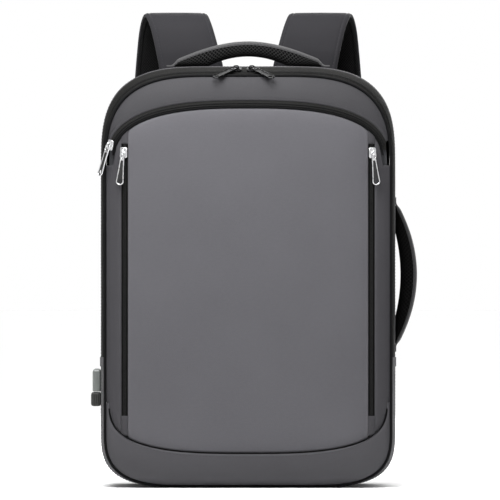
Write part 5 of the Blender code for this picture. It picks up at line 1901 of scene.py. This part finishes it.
def build_pads():
    def channels(x, z):
        pitch = 0.046
        share = abs((z / pitch) % 1.0 - 0.5) * pitch
        return 0.0030 * math.exp(-(share / 0.0028) ** 2)

    def ribs(x, z):
        return 0.0028 * math.exp(-((abs(x) - 0.040) / 0.0030) ** 2)

    for node, dent in (("back_pad_right", channels), ("back_pad_left", channels), ("lumbar_pad", ribs)):
        inflate(node, dent)


# ---------- inside ----------

def build_inside():
    rows = []
    heights = [0.0066 + 0.0030 * k for k in range(6)] + list(np.linspace(0.026, BEND_LOW, 14)) + list(
        np.linspace(BEND_LOW + 0.003, BEND_HIGH, 9)) + list(np.linspace(BEND_HIGH + 0.008, 0.395, 24)) + [
        0.401, 0.407, 0.412, 0.4165, 0.4195]
    for z in heights:
        half = half_width_at(z, 0.0042)
        row = []
        for i in range(41):
            x = mix(-half, half, i / 40)
            y = DIVIDER_Y[1] + 0.0002 * ripple(x, z, 0.06, 41.0)
            row.append((x, y, z))
        rows.append(row)
    wall = cloth("pocket_wall_cloth", rows, 0.0012, LINING, FAR_AHEAD)
    bend_with_lid(wall, "lining", ("lid_pocket_wall", "lower_pocket_wall"))
    line = plate_outline(-0.0985, 0.0985, 0.1565, 0.2935, 0.012)
    pocket = cushion("inner_pocket_cloth", line, -0.0564, -0.0536, LINING_PAD, rings=12, crown=0.25)
    settle(pocket, "lid", "lining", ("inner_pocket",))
    binding = [(x, -0.0540, 0.2920) for x in np.linspace(-0.094, 0.094, 40)]
    trim = sweep("inner_pocket_binding", binding, [(0.0, 1.0, 0.0)] * 40, rounded_bar(0.0050, 0.0008, 16, 6.0),
                 WEB_BLACK)
    settle(trim, "lid", "webbing")
    build_sleeve()
    build_lining()


def build_sleeve():
    """Padded laptop sleeve: a tray open at the top and against the back."""
    half = 0.1285
    front = 0.0362
    rear = 0.0524
    turn = 0.0060
    line = [(-half, y) for y in np.linspace(rear, front + turn, 5)]
    line += [(-half + turn - turn * math.cos(a), front + turn - turn * math.sin(a))
             for a in np.linspace(0.0, 0.5 * math.pi, 6)[1:]]
    line += [(x, front) for x in np.linspace(-half + turn, half - turn, 40)[1:-1]]
    line += [(-x, y) for x, y in reversed(line[:10])]
    rows = []
    for z in [0.0142, 0.0150, 0.0170] + list(np.linspace(0.022, 0.336, 34)) + [0.3400, 0.3426, 0.3434]:
        channel = 0.0007 * math.exp(-(((z / 0.045) % 1.0 - 0.5) * 0.045 / 0.0022) ** 2)
        row = []
        for x, y in line:
            row.append((x, y + (channel if abs(y - front) < 0.0002 else 0.0), z))
        rows.append(row)
    sleeve = cloth("laptop_sleeve_cloth", rows, 0.0024, LINING_PAD, (0.0, 0.30, 0.18))
    settle(sleeve, "pack", "lining", ("laptop_sleeve",))
    across = np.linspace(-half + 0.001, half - 0.001, 30)
    floor = [[(x, y, 0.0146 + 0.0001 * math.sin(x * 300.0)) for x in across]
             for y in np.linspace(front + 0.0004, rear, 6)]
    bottom = cloth("laptop_sleeve_floor", floor, 0.0016, LINING_PAD, (0.0, 0.045, 1.0))
    settle(bottom, "pack", "lining")
    edge = [(x, y, 0.3436) for x, y in line]
    trim = sweep("laptop_sleeve_binding", edge, [(0.0, 0.0, 1.0)] * len(edge),
                 rounded_bar(0.0022, 0.0010, 12, 3.0), WEB_BLACK)
    settle(trim, "pack", "webbing")
    line = plate_outline(-0.0200, 0.0200, 0.2992, 0.3608, 0.006)
    strap = cushion("sleeve_strap_cloth", line, 0.0331, 0.0353, WEB_BLACK, rings=5, crown=0.10)
    settle(strap, "pack", "webbing", ("sleeve_strap",))


def build_lining():
    """Lining cloth inside the walls."""
    rows = []
    for y in np.linspace(-0.0340, 0.0526, 12):
        loop = wall_loop(max(y, SHOULDER_REAR_Y), -0.0024)
        loop[:, 1] = y
        for k, (x, _, z) in enumerate(loop.tolist()):
            shift = 0.0003 * ripple(y * 3.0, z + x, 0.03, 51.0)
            loop[k][0] -= math.copysign(abs(shift), x)
        rows.append(loop)
    lining = cloth("wall_lining_cloth", rows, 0.0004, LINING, BODY_CENTRE, closed=True)
    settle(lining, "pack", "lining")
    for node in ("base_board", "back_board"):
        coat_node(node, LINING_PAD)


def coat_node(node, material):
    """Gives a CAD node that is shown as it is its material."""
    mesh = NODES[node].data
    mesh.materials.clear()
    mesh.materials.append(material)


# ---------- USB port ----------

USB_Y = -0.005
USB_FOOT_Z = 0.0975
USB_HOUSING = (0.0088, 0.0210, 0.0235)
USB_CAP = (0.0104, 0.0220, 0.0145)
USB_WALL_X = -0.1524


def port_ring(width, depth, radius, z, inset=0.0):
    """Rounded rectangle that stands off the wall, smaller by inset all round."""
    line = rounded_rectangle(width - 2.0 * inset, depth - 2.0 * inset, max(radius - inset, 0.0004))
    x = USB_WALL_X - 0.5 * USB_HOUSING[0]
    return [(x + a, USB_Y + b, z) for a, b in line]


def build_usb_port():
    """Housing with its inner room for the socket and a domed top."""
    width, depth, height = USB_HOUSING
    foot = USB_FOOT_Z
    rings = [port_ring(0.0064, 0.0140, 0.0008, z) for z in (foot + 0.0146, foot + 0.0004, foot)]
    dome = 0.0040
    walls = [(foot, 0.0005), (foot + 0.0004, 0.0001), (foot + 0.0010, 0.0)]
    walls += [(mix(foot + 0.0010, foot + height - dome, i / 6), 0.0) for i in range(7)]
    for i in range(1, 8):
        angle = 0.5 * math.pi * i / 8
        walls.append((foot + height - dome + dome * math.sin(angle), 0.0034 * (1.0 - math.cos(angle))))
    walls.append((foot + height, 0.0036))
    rings += [port_ring(width, depth, 0.0022, z, inset) for z, inset in walls]
    grid = np.array([ring + ring[:1] for ring in rings])
    settle(ring_piece("usb_housing_shell", grid, PORT_GREY, 45.0), "pack", "port_plastic", ("usb_housing",))
    build_usb_cap()
    coat_node("usb_socket", SOCKET_STEEL)
    coat_node("usb_tongue", PLASTIC_BLACK)


def build_usb_cap():
    """Rubber cap with upright grip ribs."""
    width, depth, height = USB_CAP
    top = USB_FOOT_Z - 0.0008
    count = 140
    rings = []
    levels = [(0.0, 0.0030), (0.0003, 0.0012), (0.0012, 0.0003), (0.0026, 0.0)]
    levels += [(mix(0.0026, height - 0.0026, k / 5), 0.0) for k in range(1, 6)]
    levels += [(height - 0.0012, 0.0003), (height - 0.0003, 0.0012), (height, 0.0030)]
    for drop, inset in levels:
        line = rounded_rectangle(width - 2.0 * inset, depth - 2.0 * inset, max(0.0026 - inset, 0.0006), 6)
        line = resample(line + line[:1], count)[:-1]
        ring = []
        strength = clamp(min(drop, height - drop) / 0.003)
        for k, (a, b) in enumerate(line):
            rib = 0.00028 * strength * math.cos(2.0 * math.pi * k * 28 / count)
            size = math.hypot(a, b)
            grow = 1.0 + (rib - 0.00028) / size
            ring.append((USB_WALL_X - 0.5 * width + a * grow, USB_Y + b * grow, top - drop))
        rings.append(ring + ring[:1])
    cap = ring_piece("usb_cap_rubber", np.array(rings), RUBBER_BLACK, 60.0)
    settle(cap, "usb_cap", "rubber", ("usb_cap",))


build_front_panel()
build_side_strips()
build_upper_band()
build_boot()
build_main_zip()
build_arch_zip()
build_side_zips()
build_piping()
build_gussets()
stitch_body()
build_zip_pulls()
build_handles()
build_back_panel()
build_pads()
for strap_side, strap_label in SIDES:
    build_strap(strap_side, strap_label)
build_inside()
build_usb_port()
